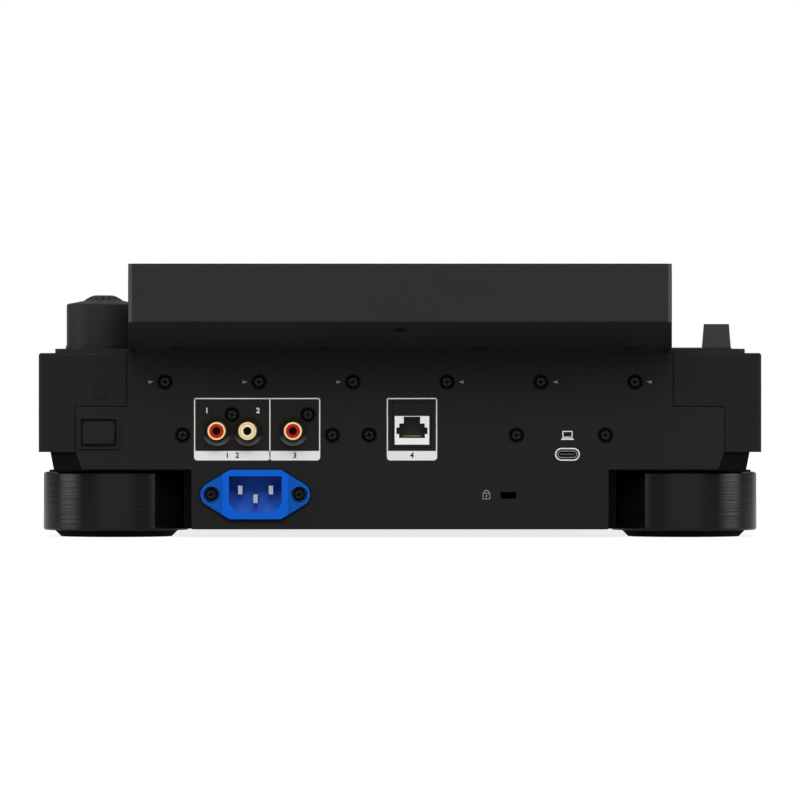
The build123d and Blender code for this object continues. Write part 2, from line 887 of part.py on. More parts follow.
# ================================================================ jog wheel and what carries it
jog_axis = Axis((0, jog_y, 0), (0, 0, 1))
gear_root_radius = jog_teeth * gear_module / 2 - 1.25 * gear_module
jog_ledge_z = jog_top_z - jog_plate_recess
collar_inner_radius = jog_display_radius + jog_gap
with BuildPart() as jog_wheel:
    with BuildSketch(at_y(jog_y)):
        with BuildLine():
            Polyline(
                (jog_post_radius + running_gap, jog_hub_z),
                (gear_root_radius, jog_hub_z),
                (gear_root_radius, jog_web_z),
                (jog_radius - jog_rim_width, jog_web_z),
                (jog_radius - jog_rim_width, jog_skirt_z),
                (jog_radius, jog_skirt_z),
                (jog_radius, jog_top_z - jog_bevel_height),
                (jog_radius - jog_bevel_width, jog_top_z),
                (jog_plate_radius + seam_gap, jog_top_z),
                (jog_plate_radius + seam_gap, jog_ledge_z),
                (jog_plate_radius - jog_plate_ledge, jog_ledge_z),
                (jog_plate_radius - jog_plate_ledge, jog_web_z + jog_web_thickness),
                (collar_inner_radius + jog_collar_width, jog_web_z + jog_web_thickness),
                (collar_inner_radius + jog_collar_width, jog_ledge_z),
                (collar_inner_radius, jog_ledge_z),
                (collar_inner_radius, jog_hub_top),
                (jog_post_radius + running_gap, jog_hub_top),
                close=True,
            )
        make_face()
    revolve(axis=jog_axis)
    with BuildSketch(Plane((0, jog_y, jog_hub_z))):
        Polygon(*gear_outline(jog_teeth, gear_module))
        Circle(gear_root_radius - gear_module, mode=Mode.SUBTRACT)
    extrude(amount=gear_width)
    # Finger dimples along the bevel.
    bevel_angle = degrees(atan2(jog_bevel_width, jog_bevel_height))
    bevel_mid_radius = jog_radius - jog_bevel_width / 2
    bevel_mid_z = jog_top_z - jog_bevel_height / 2
    lift = jog_dimple_radius - jog_dimple_depth
    with Locations((0, jog_y, bevel_mid_z + lift * sin(radians(bevel_angle)))):
        with PolarLocations(bevel_mid_radius + lift * cos(radians(bevel_angle)), jog_dimples):
            Cylinder(
                jog_dimple_radius,
                3 * jog_bevel_width,
                rotation=(0, -bevel_angle, 0),
                mode=Mode.SUBTRACT,
            )
jog_wheel.part.label = "jog_wheel"
export_step(jog_wheel.part, "parts/jog_wheel.step")

with BuildPart() as jog_plate:
    with BuildSketch(Plane((0, jog_y, jog_ledge_z))):
        Circle(jog_plate_radius)
        Circle(collar_inner_radius, mode=Mode.SUBTRACT)
    extrude(amount=jog_plate_thickness)
    chamfer(jog_plate.edges().group_by(Axis.Z)[-1], key_edge)
jog_plate.part.label = "jog_plate"
export_step(jog_plate.part, "parts/jog_plate.step")

encoder_x = (jog_teeth + encoder_teeth) * gear_module / 2 + gear_backlash
window_ring = (gear_root_radius + bracket_radius + bracket_window_radius) / 2
with BuildPart() as jog_bracket:
    with BuildSketch(at_y(jog_y)):
        with BuildLine():
            Polyline(
                (jog_post_radius - jog_post_wall, bracket_z),
                (bracket_radius, bracket_z),
                (bracket_radius, bracket_z + bracket_thickness),
                (gear_root_radius, bracket_z + bracket_thickness),
                (gear_root_radius, jog_hub_z - jog_thrust_gap),
                (jog_post_radius, jog_hub_z - jog_thrust_gap),
                (jog_post_radius, jog_display_z),
                (jog_post_radius - jog_post_wall, jog_display_z),
                close=True,
            )
        make_face()
    revolve(axis=jog_axis)
    with BuildSketch(Plane((0, jog_y, bracket_z))):
        with PolarLocations(window_ring, bracket_windows):
            Circle(bracket_window_radius)
    extrude(amount=bracket_thickness, mode=Mode.SUBTRACT)
    post_ring = jog_radius + jog_gap + bracket_post_radius + seam_gap
    with Locations((0, jog_y, bracket_z + bracket_thickness)):
        with PolarLocations(post_ring, bracket_posts, start_angle=bracket_post_angle):
            Cylinder(
                bracket_post_radius,
                case_top - bracket_z - bracket_thickness,
                align=(Align.CENTER, Align.CENTER, Align.MIN),
            )
    with Locations((encoder_x, jog_y, bracket_z + bracket_thickness)):
        Cylinder(
            encoder_hub_radius,
            jog_hub_z - jog_thrust_gap - bracket_z - bracket_thickness,
            align=(Align.CENTER, Align.CENTER, Align.MIN),
        )
        Cylinder(
            encoder_post_radius,
            jog_web_z - jog_thrust_gap - bracket_z - bracket_thickness,
            align=(Align.CENTER, Align.CENTER, Align.MIN),
        )
jog_bracket.part.label = "jog_bracket"
export_step(jog_bracket.part, "parts/jog_bracket.step")

with BuildPart() as encoder_gear:
    with BuildSketch(Plane((encoder_x, jog_y, jog_hub_z))):
        Polygon(*gear_outline(encoder_teeth, gear_module))
        Circle(encoder_post_radius + running_gap, mode=Mode.SUBTRACT)
    extrude(amount=gear_width)
encoder_gear.part.label = "encoder_gear"
export_step(encoder_gear.part, "parts/encoder_gear.step")

with BuildPart() as jog_display:
    with BuildSketch(Plane((0, jog_y, jog_display_z))):
        Circle(jog_display_radius)
    extrude(amount=jog_display_height)
    chamfer(jog_display.edges().group_by(Axis.Z)[-1], key_edge)
jog_display.part.label = "jog_display"
export_step(jog_display.part, "parts/jog_display.step")

with BuildPart() as jog_surround:
    with BuildSketch(Plane((0, jog_y, deck_top))):
        Circle(jog_radius + jog_gap + surround_width)
        Circle(jog_radius + jog_gap, mode=Mode.SUBTRACT)
    extrude(amount=surround_height)
    outer_edge = jog_surround.edges().group_by(Axis.Z)[-1].sort_by(SortBy.RADIUS)[-1]
    chamfer(outer_edge, surround_height / 2)
jog_surround.part.label = "jog_surround"
export_step(jog_surround.part, "parts/jog_surround.step")

# ================================================================ display housing
display_bottom_z = deck_top
ridge_front_y = rear_y - display_ridge
display_front_z = display_bottom_z + display_front_height
tilt = atan2(body_height - display_front_z, ridge_front_y - display_front_y)
screen_mid_y = (display_front_y + ridge_front_y) / 2
screen_mid_z = (display_front_z + body_height) / 2
screen = Plane(
    origin=(0, screen_mid_y, screen_mid_z), x_dir=(1, 0, 0), z_dir=(0, -sin(tilt), cos(tilt))
)
underside_rise = body_height - display_rear_height - case_top
underside_angle = atan2(underside_rise, rear_y - panel_y)
underside = Plane(
    origin=(0, panel_y, case_top),
    x_dir=(1, 0, 0),
    z_dir=(0, sin(underside_angle), -cos(underside_angle)),
)
housing_screw_x = (display_width / 2 - 20.25, 35.0, -36.5, 16.75 - display_width / 2)
housing_screw_run = 6.0
housing_rear_screw_run = 36.0
housing_recess_depth = 5.0
housing_boss_radius = 6.0
housing_boss_height = 9.0
housing_screw_places = [(x, -housing_screw_run) for x in housing_screw_x]
housing_screw_places.append((0, -housing_rear_screw_run))

housing_profile = [
    (display_front_y, display_bottom_z),
    (deck_rear_y + seam_gap, display_bottom_z),
    (deck_rear_y + seam_gap, case_top),
    (panel_y, case_top),
    (rear_y, case_top + underside_rise),
    (rear_y, body_height),
    (ridge_front_y, body_height),
    (display_front_y, display_front_z),
]
ceiling_drop = (glass_thickness + display_ledge) / cos(tilt)
floor_z = display_bottom_z + display_wall
cavity_front_z = floor_z + display_wall
cavity_front_y = display_front_y + (cavity_front_z + ceiling_drop - display_front_z) / tan(tilt)
cavity_rear_y = rear_y - display_wall
cavity_profile = [
    (cavity_front_y, floor_z),
    (panel_y, floor_z),
    (cavity_rear_y, floor_z + (cavity_rear_y - panel_y) * underside_rise / display_overhang),
    (cavity_rear_y, body_height - ceiling_drop),
    (ridge_front_y, body_height - ceiling_drop),
    (cavity_front_y, cavity_front_z),
]
housing_cheek = [
    (display_front_width / 2, display_front_y),
    (display_width, display_front_y),
    (display_width, rear_y),
    (display_width / 2, rear_y),
]
with BuildPart() as display_housing:
    with BuildSketch(Plane.YZ):
        Polygon(*housing_profile)
    extrude(amount=display_width / 2, both=True)
    with BuildSketch(Plane.XY.offset(case_top)):
        Polygon(*housing_cheek)
        Polygon(*[(-x, y) for x, y in housing_cheek])
    extrude(amount=body_height - case_top, mode=Mode.SUBTRACT)
    chamfer(display_housing.edges().filter_by(Axis.Z).group_by(Axis.Y)[-1], display_edge)
    with BuildSketch(Plane.YZ):
        Polygon(*cavity_profile)
    extrude(amount=display_front_width / 2 - display_wall, both=True, mode=Mode.SUBTRACT)
    with BuildSketch(underside):
        with Locations(*housing_screw_places):
            Circle(housing_boss_radius)
    extrude(amount=-housing_boss_height)
    with BuildSketch(screen):
        Rectangle(glass_width + 2 * seam_gap, glass_length + 2 * seam_gap)
    extrude(amount=-glass_thickness, mode=Mode.SUBTRACT)
    with BuildSketch(screen):
        Rectangle(lcd_width + 2 * lcd_ledge_gap, lcd_length + 2 * lcd_ledge_gap)
    extrude(amount=-glass_thickness - lcd_thickness - seam_gap, mode=Mode.SUBTRACT)
    with BuildSketch(underside):
        with Locations(*housing_screw_places):
            Circle(screw_recess_radius)
    extrude(amount=-housing_recess_depth, mode=Mode.SUBTRACT)
display_housing.part.label = "display_housing"
export_step(display_housing.part, "parts/display_housing.step")

with BuildPart() as display_glass:
    with BuildSketch(screen):
        Rectangle(glass_width, glass_length)
    extrude(amount=-glass_thickness)
display_glass.part.label = "display_glass"
export_step(display_glass.part, "parts/display_glass.step")

with BuildPart() as lcd_module:
    with BuildSketch(screen.offset(-glass_thickness)):
        Rectangle(lcd_width, lcd_length)
    extrude(amount=-lcd_thickness)
lcd_module.part.label = "lcd_module"
export_step(lcd_module.part, "parts/lcd_module.step")

# ================================================================ screws
# The screws of the rear panel, of the inlet's flange and of the display housing are all alike.
with BuildPart() as case_screws:
    for seat, places in (
        (at_y(panel_y - screw_recess_depth), sheet_screws + jack_screws),
        (at_y(inlet_end_y - screw_recess_depth), inlet_screws),
    ):
        with BuildSketch(seat):
            with Locations(*places):
                Circle(screw_head_radius)
        extrude(amount=-screw_head_height)
        with BuildSketch(seat):
            with Locations(*places):
                Circle(screw_shank_radius)
        extrude(amount=screw_length)
    with BuildSketch(underside.offset(-housing_recess_depth)):
        with Locations(*housing_screw_places):
            Circle(screw_head_radius)
    extrude(amount=screw_head_height)
case_screws.part.label = "case_screws"
export_step(case_screws.part, "parts/case_screws.step")

# ================================================================ sockets
board_top = main_board_z + board_thickness
rca_body_height = jack_screw_z + rca_screw_wall - board_top
with BuildPart() as rca_jacks:
    jack_spans = (
        (rca_left_x - rca_pitch - rca_body_side, rca_left_x + rca_body_side),
        (jack_screw_x[1] - rca_screw_wall, rca_digital_x + rca_body_side),
    )
    with BuildSketch(at_y(panel_inner_y)):
        for low_x, high_x in jack_spans:
            with Locations((low_x, board_top)):
                Rectangle(high_x - low_x, rca_body_height, align=Align.MIN)
    extrude(amount=rca_body_length)
    with BuildSketch(at_y(panel_inner_y)):
        with Locations(*jack_screws):
            Circle(screw_shank_radius + screw_gap)
    extrude(amount=screw_length, mode=Mode.SUBTRACT)
    with BuildSketch(at_y(panel_y)):
        with Locations(*jack_places):
            Circle(rca_dish_radius + rca_collar)
    extrude(amount=panel_thickness)
    for x, z in jack_places:
        with BuildSketch(Plane.XY.offset(z)):
            with BuildLine():
                Polyline(
                    (x + rca_sleeve_radius, panel_y),
                    (x + rca_dish_radius, panel_y),
                    (x + rca_sleeve_radius + rca_dish_floor, panel_y - rca_dish_bevel),
                    (x + rca_sleeve_radius + rca_dish_floor, panel_y - rca_dish_depth),
                    (x + rca_sleeve_radius, panel_y - rca_dish_depth),
                    close=True,
                )
            make_face()
        revolve(axis=Axis((x, 0, z), (0, 1, 0)), mode=Mode.SUBTRACT)
    with BuildSketch(at_y(panel_y - rca_dish_depth)):
        with Locations(*jack_places):
            Circle(rca_sleeve_radius)
    extrude(amount=-rca_dish_depth - rca_sleeve_length)
    with BuildSketch(at_y(panel_y + rca_sleeve_length)):
        with Locations(*jack_places):
            Circle(rca_hole_radius)
    extrude(amount=rca_hole_depth, mode=Mode.SUBTRACT)
rca_jacks.part.label = "rca_jacks"
export_step(rca_jacks.part, "parts/rca_jacks.step")

with BuildPart() as lan_port:
    with BuildSketch(at_y(panel_y)):
        with Locations((lan_x, board_top)):
            Rectangle(lan_width, lan_height, align=(Align.CENTER, Align.MIN))
    extrude(amount=lan_length)
    with BuildSketch(at_y(panel_y)):
        with Locations((lan_x, board_top + lan_floor)):
            Rectangle(lan_opening_width, lan_opening_height, align=(Align.CENTER, Align.MIN))
            Rectangle(
                lan_tab_width, lan_opening_height + lan_tab_height, align=(Align.CENTER, Align.MIN)
            )
    extrude(amount=lan_depth, mode=Mode.SUBTRACT)
lan_port.part.label = "lan_port"
export_step(lan_port.part, "parts/lan_port.step")

with BuildPart() as usb_c_port:
    with BuildSketch(at_y(panel_y)):
        with Locations((usb_c_x, usb_c_z)):
            SlotOverall(usb_c_width, usb_c_height)
            SlotOverall(
                usb_c_width - 2 * usb_c_shell, usb_c_height - 2 * usb_c_shell, mode=Mode.SUBTRACT
            )
            Rectangle(usb_c_tongue_width, usb_c_tongue_height)
    extrude(amount=usb_c_length)
    with BuildSketch(at_y(panel_y - usb_c_length)):
        with Locations((usb_c_x, usb_c_z - usb_c_height / 2)):
            Rectangle(
                usb_c_width, main_board_z - usb_c_z + usb_c_height / 2, align=(Align.CENTER, Align.MIN)
            )
    extrude(amount=usb_c_height)
usb_c_port.part.label = "usb_c_port"
export_step(usb_c_port.part, "parts/usb_c_port.step")

# The mains inlet: a flange with pointed round ends, and a box behind it open to the rear.
inlet_mouth = [
    (inlet_x + inlet_mouth_width / 2, inlet_z + inlet_mouth_height / 2),
    (inlet_x - inlet_mouth_width / 2, inlet_z + inlet_mouth_height / 2),
    (inlet_x - inlet_mouth_width / 2, inlet_z - inlet_mouth_height / 2 + inlet_mouth_chamfer),
    (inlet_x - inlet_mouth_width / 2 + inlet_mouth_chamfer, inlet_z - inlet_mouth_height / 2),
    (inlet_x + inlet_mouth_width / 2 - inlet_mouth_chamfer, inlet_z - inlet_mouth_height / 2),
    (inlet_x + inlet_mouth_width / 2, inlet_z - inlet_mouth_height / 2 + inlet_mouth_chamfer),
]
inlet_back_y = panel_y + inlet_flange - inlet_mouth_depth
inlet_box_width = inlet_mouth_width + 2 * inlet_wall
with BuildPart() as ac_inlet:
    with BuildSketch(at_y(panel_y + inlet_flange)):
        with Locations((inlet_x, inlet_z)):
            Polygon(
                *[
                    (side * run, rise)
                    for side, run, rise in (
                        (1, inlet_width / 2 + inlet_end_cut, 0),
                        (1, inlet_flat_width / 2, inlet_height / 2),
                        (-1, inlet_flat_width / 2, inlet_height / 2),
                        (-1, inlet_width / 2 + inlet_end_cut, 0),
                        (-1, inlet_flat_width / 2, -inlet_height / 2),
                        (1, inlet_flat_width / 2, -inlet_height / 2),
                    )
                ],
                align=None,
            )
    extrude(amount=inlet_flange)
    fillet(ac_inlet.edges().filter_by(Axis.Y).group_by(Axis.X)[0], inlet_end_radius)
    fillet(ac_inlet.edges().filter_by(Axis.Y).group_by(Axis.X)[-1], inlet_end_radius)
    with BuildSketch(at_y(panel_y)):
        with Locations((inlet_x, inlet_z)):
            Rectangle(inlet_box_width, inlet_mouth_height + 2 * inlet_wall)
    extrude(amount=inlet_mouth_depth - inlet_flange + inlet_wall)
    with BuildSketch(at_y(panel_y + inlet_flange)):
        Polygon(*inlet_mouth)
    extrude(amount=inlet_mouth_depth, mode=Mode.SUBTRACT)
    with BuildSketch(at_y(panel_y + inlet_flange)):
        with Locations((inlet_x, inlet_z)):
            Rectangle(2 * inlet_width, inlet_height)
            Rectangle(inlet_block_width, inlet_height, mode=Mode.SUBTRACT)
    extrude(amount=inlet_end_drop, mode=Mode.SUBTRACT)
    with BuildSketch(at_y(inlet_end_y)):
        with Locations(*inlet_screws):
            Circle(screw_recess_radius)
    extrude(amount=screw_recess_depth, mode=Mode.SUBTRACT)
    with BuildSketch(at_y(inlet_end_y)):
        with Locations(*inlet_screws):
            Circle(screw_shank_radius + screw_gap)
    extrude(amount=inlet_flange, mode=Mode.SUBTRACT)
    inlet_pin_places = [
        (inlet_x - inlet_pin_pitch / 2, inlet_z + inlet_pin_rise),
        (inlet_x, inlet_z - inlet_pin_rise),
        (inlet_x + inlet_pin_pitch / 2, inlet_z + inlet_pin_rise),
    ]
    with BuildSketch(at_y(inlet_back_y)):
        with Locations(*inlet_pin_places):
            Rectangle(inlet_pin_width + 2 * screw_gap, inlet_pin_height + 2 * screw_gap)
    extrude(amount=inlet_wall, mode=Mode.SUBTRACT)
ac_inlet.part.label = "ac_inlet"
export_step(ac_inlet.part, "parts/ac_inlet.step")

with BuildPart() as ac_pins:
    with BuildSketch(at_y(inlet_back_y)):
        with Locations(*inlet_pin_places):
            Rectangle(inlet_pin_width, inlet_pin_height)
    extrude(amount=-inlet_pin_length)
    with BuildSketch(at_y(inlet_back_y)):
        with Locations(*inlet_pin_places):
            Rectangle(inlet_pin_width, inlet_pin_height)
    extrude(amount=inlet_wall + inlet_tab_length)
ac_pins.part.label = "ac_pins"
export_step(ac_pins.part, "parts/ac_pins.step")

# ================================================================ power button and switch
with BuildPart() as power_button:
    with BuildSketch(at_y(panel_y + power_proud)):
        with Locations((power_x, power_z)):
            RectangleRounded(power_width, power_height, key_corner)
    extrude(amount=power_proud + panel_thickness)
    chamfer(power_button.faces().sort_by(Axis.Y)[-1].edges(), key_edge)
    with BuildSketch(at_y(panel_inner_y)):
        with Locations((power_x, power_z)):
            Rectangle(
                power_width + 2 * power_button_gap + power_lip,
                power_height + 2 * power_button_gap + power_lip,
            )
    extrude(amount=power_lip_thickness)
    with BuildSketch(at_y(panel_inner_y - power_lip_thickness)):
        with Locations((power_x, power_z)):
            Circle(power_stem_radius)
    extrude(amount=power_stem_length)
power_button.part.label = "power_button"
export_step(power_button.part, "parts/power_button.step")

power_switch_y = panel_inner_y - power_lip_thickness - power_stem_length - power_travel - switch_play
with BuildPart() as power_switch:
    with BuildSketch(at_y(power_switch_y)):
        with Locations((power_x, power_z)):
            Rectangle(power_switch_width, power_switch_height)
    extrude(amount=power_switch_length)
    with BuildSketch(at_y(power_switch_y)):
        for side in (-1, 1):
            with Locations((power_x + side * (power_switch_width - power_ear) / 2, power_z)):
                Rectangle(power_ear, power_switch_height)
    extrude(amount=power_switch_y - panel_inner_y)
power_switch.part.label = "power_switch"
export_step(power_switch.part, "parts/power_switch.step")

# ================================================================ boards and supply
# Each chip's place from the middle of the board, its side and its height.
chips = [
    (-62.0, 22.0, 22.0, 3.0),
    (-20.0, 14.0, 30.0, 9.0),
    (-58.0, -26.0, 16.0, 2.0),
    (62.0, -36.0, 18.0, 3.0),
]
with BuildPart() as main_board:
    with BuildSketch(Plane.XY.offset(main_board_z)):
        with Locations((0, main_board_y)):
            Rectangle(main_board_width, main_board_length)
    extrude(amount=board_thickness)
    for x, y, side, height in chips:
        with BuildSketch(Plane.XY.offset(board_top)):
            with Locations((x, main_board_y + y)):
                Rectangle(side, side)
        extrude(amount=height)
main_board.part.label = "main_board"
export_step(main_board.part, "parts/main_board.step")

supply_z = tub_floor_z + sheet + supply_rise
with BuildPart() as power_supply:
    with BuildSketch(Plane.XY.offset(supply_z)):
        with Locations((supply_x, supply_y)):
            Rectangle(supply_width, supply_length)
    extrude(amount=board_thickness)
    with BuildSketch(Plane.XY.offset(supply_z + board_thickness)):
        with Locations((supply_x - transformer_inset, supply_y)):
            Rectangle(transformer_width, transformer_length)
    extrude(amount=transformer_height)
    with BuildSketch(Plane.XY.offset(supply_z + board_thickness)):
        with Locations(
            *[(supply_x + capacitor_inset, supply_y - row * capacitor_pitch) for row in (0, 1)]
        ):
            Circle(capacitor_radius)
    extrude(amount=capacitor_height)
power_supply.part.label = "power_supply"
export_step(power_supply.part, "parts/power_supply.step")

# ================================================================ tempo fader
fader_length = 2 * fader_travel + fader_stem_length + 2 * key_gap
fader_bottom_z = case_top - fader_unit_depth
with BuildPart() as fader_unit:
    with BuildSketch(Plane.XY.offset(case_top)):
        with Locations((fader_x, fader_y)):
            Rectangle(fader_unit_width, fader_length + 4 * fader_unit_wall)
    extrude(amount=-fader_unit_depth)
    with BuildSketch(Plane.XY.offset(case_top)):
        with Locations((fader_x, fader_y)):
            Rectangle(fader_slot_width, fader_length)
    extrude(amount=-fader_unit_depth + fader_unit_wall, mode=Mode.SUBTRACT)
fader_unit.part.label = "fader_unit"
export_step(fader_unit.part, "parts/fader_unit.step")

with BuildPart() as tempo_fader:
    with BuildSketch(Plane.XY.offset(fader_bottom_z + fader_unit_wall + seam_gap)):
        with Locations((fader_x, fader_y)):
            Rectangle(fader_stem_width, fader_stem_length)
    extrude(amount=deck_top + fader_cap_rise - fader_bottom_z - fader_unit_wall - seam_gap)
    with BuildSketch(Plane.XY.offset(deck_top + fader_cap_rise)):
        with Locations((fader_x, fader_y)):
            RectangleRounded(fader_cap_width, fader_cap_length, key_corner)
    extrude(amount=fader_cap_height, taper=fader_cap_taper)
    with BuildSketch(Plane.YZ.offset(fader_x - fader_cap_width / 2)):
        with Locations((fader_y, deck_top + fader_cap_rise + fader_cap_height)):
            Rectangle(fader_groove, 2 * fader_groove)
    extrude(amount=fader_cap_width, mode=Mode.SUBTRACT)
tempo_fader.part.label = "tempo_fader"
export_step(tempo_fader.part, "parts/tempo_fader.step")

# ================================================================ rotary selector
selector_axis = Axis((selector_x, selector_y, 0), (0, 0, 1))
selector_bottom_z = deck_top + selector_rise
with BuildPart() as selector_knob:
    with BuildSketch(at_y(selector_y)):
        with BuildLine():
            Polyline(
                (selector_x + selector_shaft_radius + running_gap, selector_cavity_top),
                (selector_x + selector_cavity_radius, selector_cavity_top),
                (selector_x + selector_cavity_radius, selector_bottom_z),
                (selector_x + selector_radius, selector_bottom_z),
                (selector_x + selector_radius, selector_edge_z - selector_edge),
                (selector_x + selector_radius - selector_edge, selector_edge_z),
                (selector_x + selector_crown_radius + selector_crown_skirt, selector_top_z),
                *[
                    (selector_x + selector_crown_radius - inset, selector_top_z + rise)
                    for inset, rise in selector_crown_steps
                ],
                (selector_x, selector_top_z + selector_crown_height),
                (selector_x, selector_shaft_top + seam_gap),
                (selector_x + selector_shaft_radius + running_gap, selector_shaft_top + seam_gap),
                close=True,
            )
        make_face()
    revolve(axis=selector_axis)
    with BuildSketch(Plane((selector_x, selector_y, selector_top_z + seam_gap))):
        with PolarLocations(selector_crown_radius - selector_groove_radius / 2, selector_crown_grooves):
            Circle(selector_groove_radius)
    extrude(amount=selector_crown_height, mode=Mode.SUBTRACT)
selector_knob.part.label = "selector_knob"
export_step(selector_knob.part, "parts/selector_knob.step")

with BuildPart() as selector_encoder:
    with BuildSketch(Plane((selector_x, selector_y, case_top))):
        Rectangle(selector_body_width, selector_body_width)
    extrude(amount=-selector_body_height)
    with BuildSketch(Plane((selector_x, selector_y, case_top))):
        Circle(selector_bush_radius)
    extrude(amount=selector_bush_height)
    with BuildSketch(Plane((selector_x, selector_y, case_top + selector_bush_height))):
        Circle(selector_shaft_radius + running_gap)
    extrude(amount=-selector_bush_height - selector_body_height + sheet, mode=Mode.SUBTRACT)
selector_encoder.part.label = "selector_encoder"
export_step(selector_encoder.part, "parts/selector_encoder.step")

selector_shaft_bottom = case_top - selector_body_height + sheet + selector_travel + switch_play
with BuildPart() as selector_shaft:
    with BuildSketch(Plane((selector_x, selector_y, selector_shaft_bottom))):
        Circle(selector_shaft_radius)
    extrude(amount=selector_shaft_top - selector_shaft_bottom)
selector_shaft.part.label = "selector_shaft"
export_step(selector_shaft.part, "parts/selector_shaft.step")

# ================================================================ jog adjust knob
with BuildPart() as adjust_knob:
    with BuildSketch(Plane((adjust_x, adjust_y, deck_top + adjust_rise))):
        Circle(adjust_radius)
        with PolarLocations(adjust_radius, adjust_flats):
            Circle(adjust_flat_depth, mode=Mode.SUBTRACT)
    extrude(amount=adjust_height)
    with BuildSketch(Plane((adjust_x, adjust_y, control_board_top + adjust_stop_gap))):
        Circle(adjust_shaft_radius)
    extrude(amount=deck_top + adjust_rise - control_board_top - adjust_stop_gap)
adjust_knob.part.label = "jog_adjust_knob"
export_step(adjust_knob.part, "parts/jog_adjust_knob.step")

# ================================================================ direction lever
with BuildPart() as direction_lever:
    with BuildSketch(Plane.YZ.offset(lever_x - lever_stem_width / 2)):
        with Locations((lever_y, lever_pivot_z)):
            Circle(lever_hub_radius)
            Rectangle(
                lever_stem_thickness, lever_cap_z - lever_pivot_z, align=(Align.CENTER, Align.MIN)
            )
    extrude(amount=lever_stem_width)
    with BuildSketch(Plane((lever_x, lever_y, lever_cap_z))):
        Rectangle(lever_low_width, lever_low_thickness)
    with BuildSketch(Plane((lever_x, lever_y, lever_top_z))):
        Rectangle(lever_top_width, lever_top_thickness)
    loft()
    with BuildSketch(Plane.YZ.offset(lever_x - lever_stem_width / 2)):
        with Locations((lever_y, lever_pivot_z)):
            Circle(lever_pin_radius + running_gap)
    extrude(amount=lever_stem_width, mode=Mode.SUBTRACT)
direction_lever.part.label = "direction_lever"
export_step(direction_lever.part, "parts/direction_lever.step")

lever_ear_inner = lever_stem_width / 2 + seam_gap
lever_ear_outer = lever_ear_inner + lever_ear
with BuildPart() as lever_frame:
    for side in (-1, 1):
        ear_x = lever_x + side * (lever_ear_inner + lever_ear_outer) / 2
        with BuildSketch(Plane.YZ.offset(ear_x - lever_ear / 2)):
            with Locations((lever_y, lever_pivot_z)):
                Circle(lever_hub_radius)
                Rectangle(
                    2 * lever_hub_radius, case_top - lever_pivot_z, align=(Align.CENTER, Align.MIN)
                )
        extrude(amount=lever_ear)
    with BuildSketch(Plane.YZ.offset(lever_x - lever_ear_outer)):
        with Locations((lever_y, lever_pivot_z)):
            Circle(lever_pin_radius)
    extrude(amount=2 * lever_ear_outer)
lever_frame.part.label = "lever_frame"
export_step(lever_frame.part, "parts/lever_frame.step")

# ================================================================ disc slot and drive
with BuildPart() as slot_bezel:
    with BuildSketch(at_y(case_inner_front_y)):
        with Locations((0, slot_z)):
            Rectangle(bezel_width, bezel_height)
    extrude(amount=case_wall)
    with BuildSketch(at_y(case_inner_front_y + bezel_lip_thickness)):
        with Locations((0, slot_z)):
            Rectangle(bezel_width + 2 * bezel_lip, bezel_height + 2 * bezel_lip)
    extrude(amount=bezel_lip_thickness)
    with BuildSketch(at_y(case_inner_front_y + bezel_lip_thickness)):
        with Locations((0, slot_z)):
            Rectangle(slot_width, slot_height)
    extrude(amount=bezel_lip_thickness + case_wall, mode=Mode.SUBTRACT)
    chamfer(
        slot_bezel.faces().sort_by(Axis.Y)[0].inner_wires().edges().filter_by(Axis.X), bezel_flare
    )
slot_bezel.part.label = "slot_bezel"
export_step(slot_bezel.part, "parts/slot_bezel.step")

drive_rear_y = drive_front_y + drive_length
spindle_y = drive_front_y + spindle_setback
disc_low_z = slot_z - slot_height / 2
spindle_top_z = disc_low_z - disc_gap
plate_top_z = drive_z + drive_wall
sled_top_z = disc_low_z - disc_gap - sled_lens_height
rod_z = sled_top_z - sled_height / 2
rod_front_y = spindle_y + motor_radius + rod_block_thickness
with BuildPart() as drive_chassis:
    with BuildSketch(Plane.XY.offset(drive_z)):
        with Locations((0, drive_y)):
            Rectangle(drive_width, drive_length)
    extrude(amount=drive_height)
    with BuildSketch(Plane.XY.offset(plate_top_z)):
        with Locations((0, drive_front_y)):
            Rectangle(
                drive_width - 2 * drive_wall, drive_length - drive_wall, align=(Align.CENTER, Align.MIN)
            )
    extrude(amount=drive_height - drive_wall, mode=Mode.SUBTRACT)
    with BuildSketch(Plane((0, spindle_y, plate_top_z))):
        Circle(motor_radius)
    extrude(amount=motor_height)
    with BuildSketch(Plane((0, spindle_y, plate_top_z + motor_height))):
        Circle(spindle_shaft_radius + running_gap)
    extrude(amount=-motor_height - drive_wall, mode=Mode.SUBTRACT)
    for side in (-1, 1):
        with BuildSketch(at_y(rod_front_y)):
            with Locations((side * sled_rod_pitch / 2, plate_top_z)):
                Rectangle(
                    rod_block, rod_z + rod_block / 4 - plate_top_z, align=(Align.CENTER, Align.MIN)
                )
        extrude(amount=rod_block_thickness)
        with BuildSketch(at_y(drive_rear_y - drive_wall)):
            with Locations((side * sled_rod_pitch / 2, rod_z)):
                Circle(sled_rod_radius)
        extrude(amount=drive_rear_y - drive_wall - rod_front_y)
    with BuildSketch(Plane.YZ.offset(-drive_width / 2)):
        with Locations((drive_front_y + roller_setback, disc_low_z - disc_gap - roller_radius)):
            Circle(roller_pin_radius + running_gap)
    extrude(amount=drive_width, mode=Mode.SUBTRACT)
drive_chassis.part.label = "drive_chassis"
export_step(drive_chassis.part, "parts/drive_chassis.step")

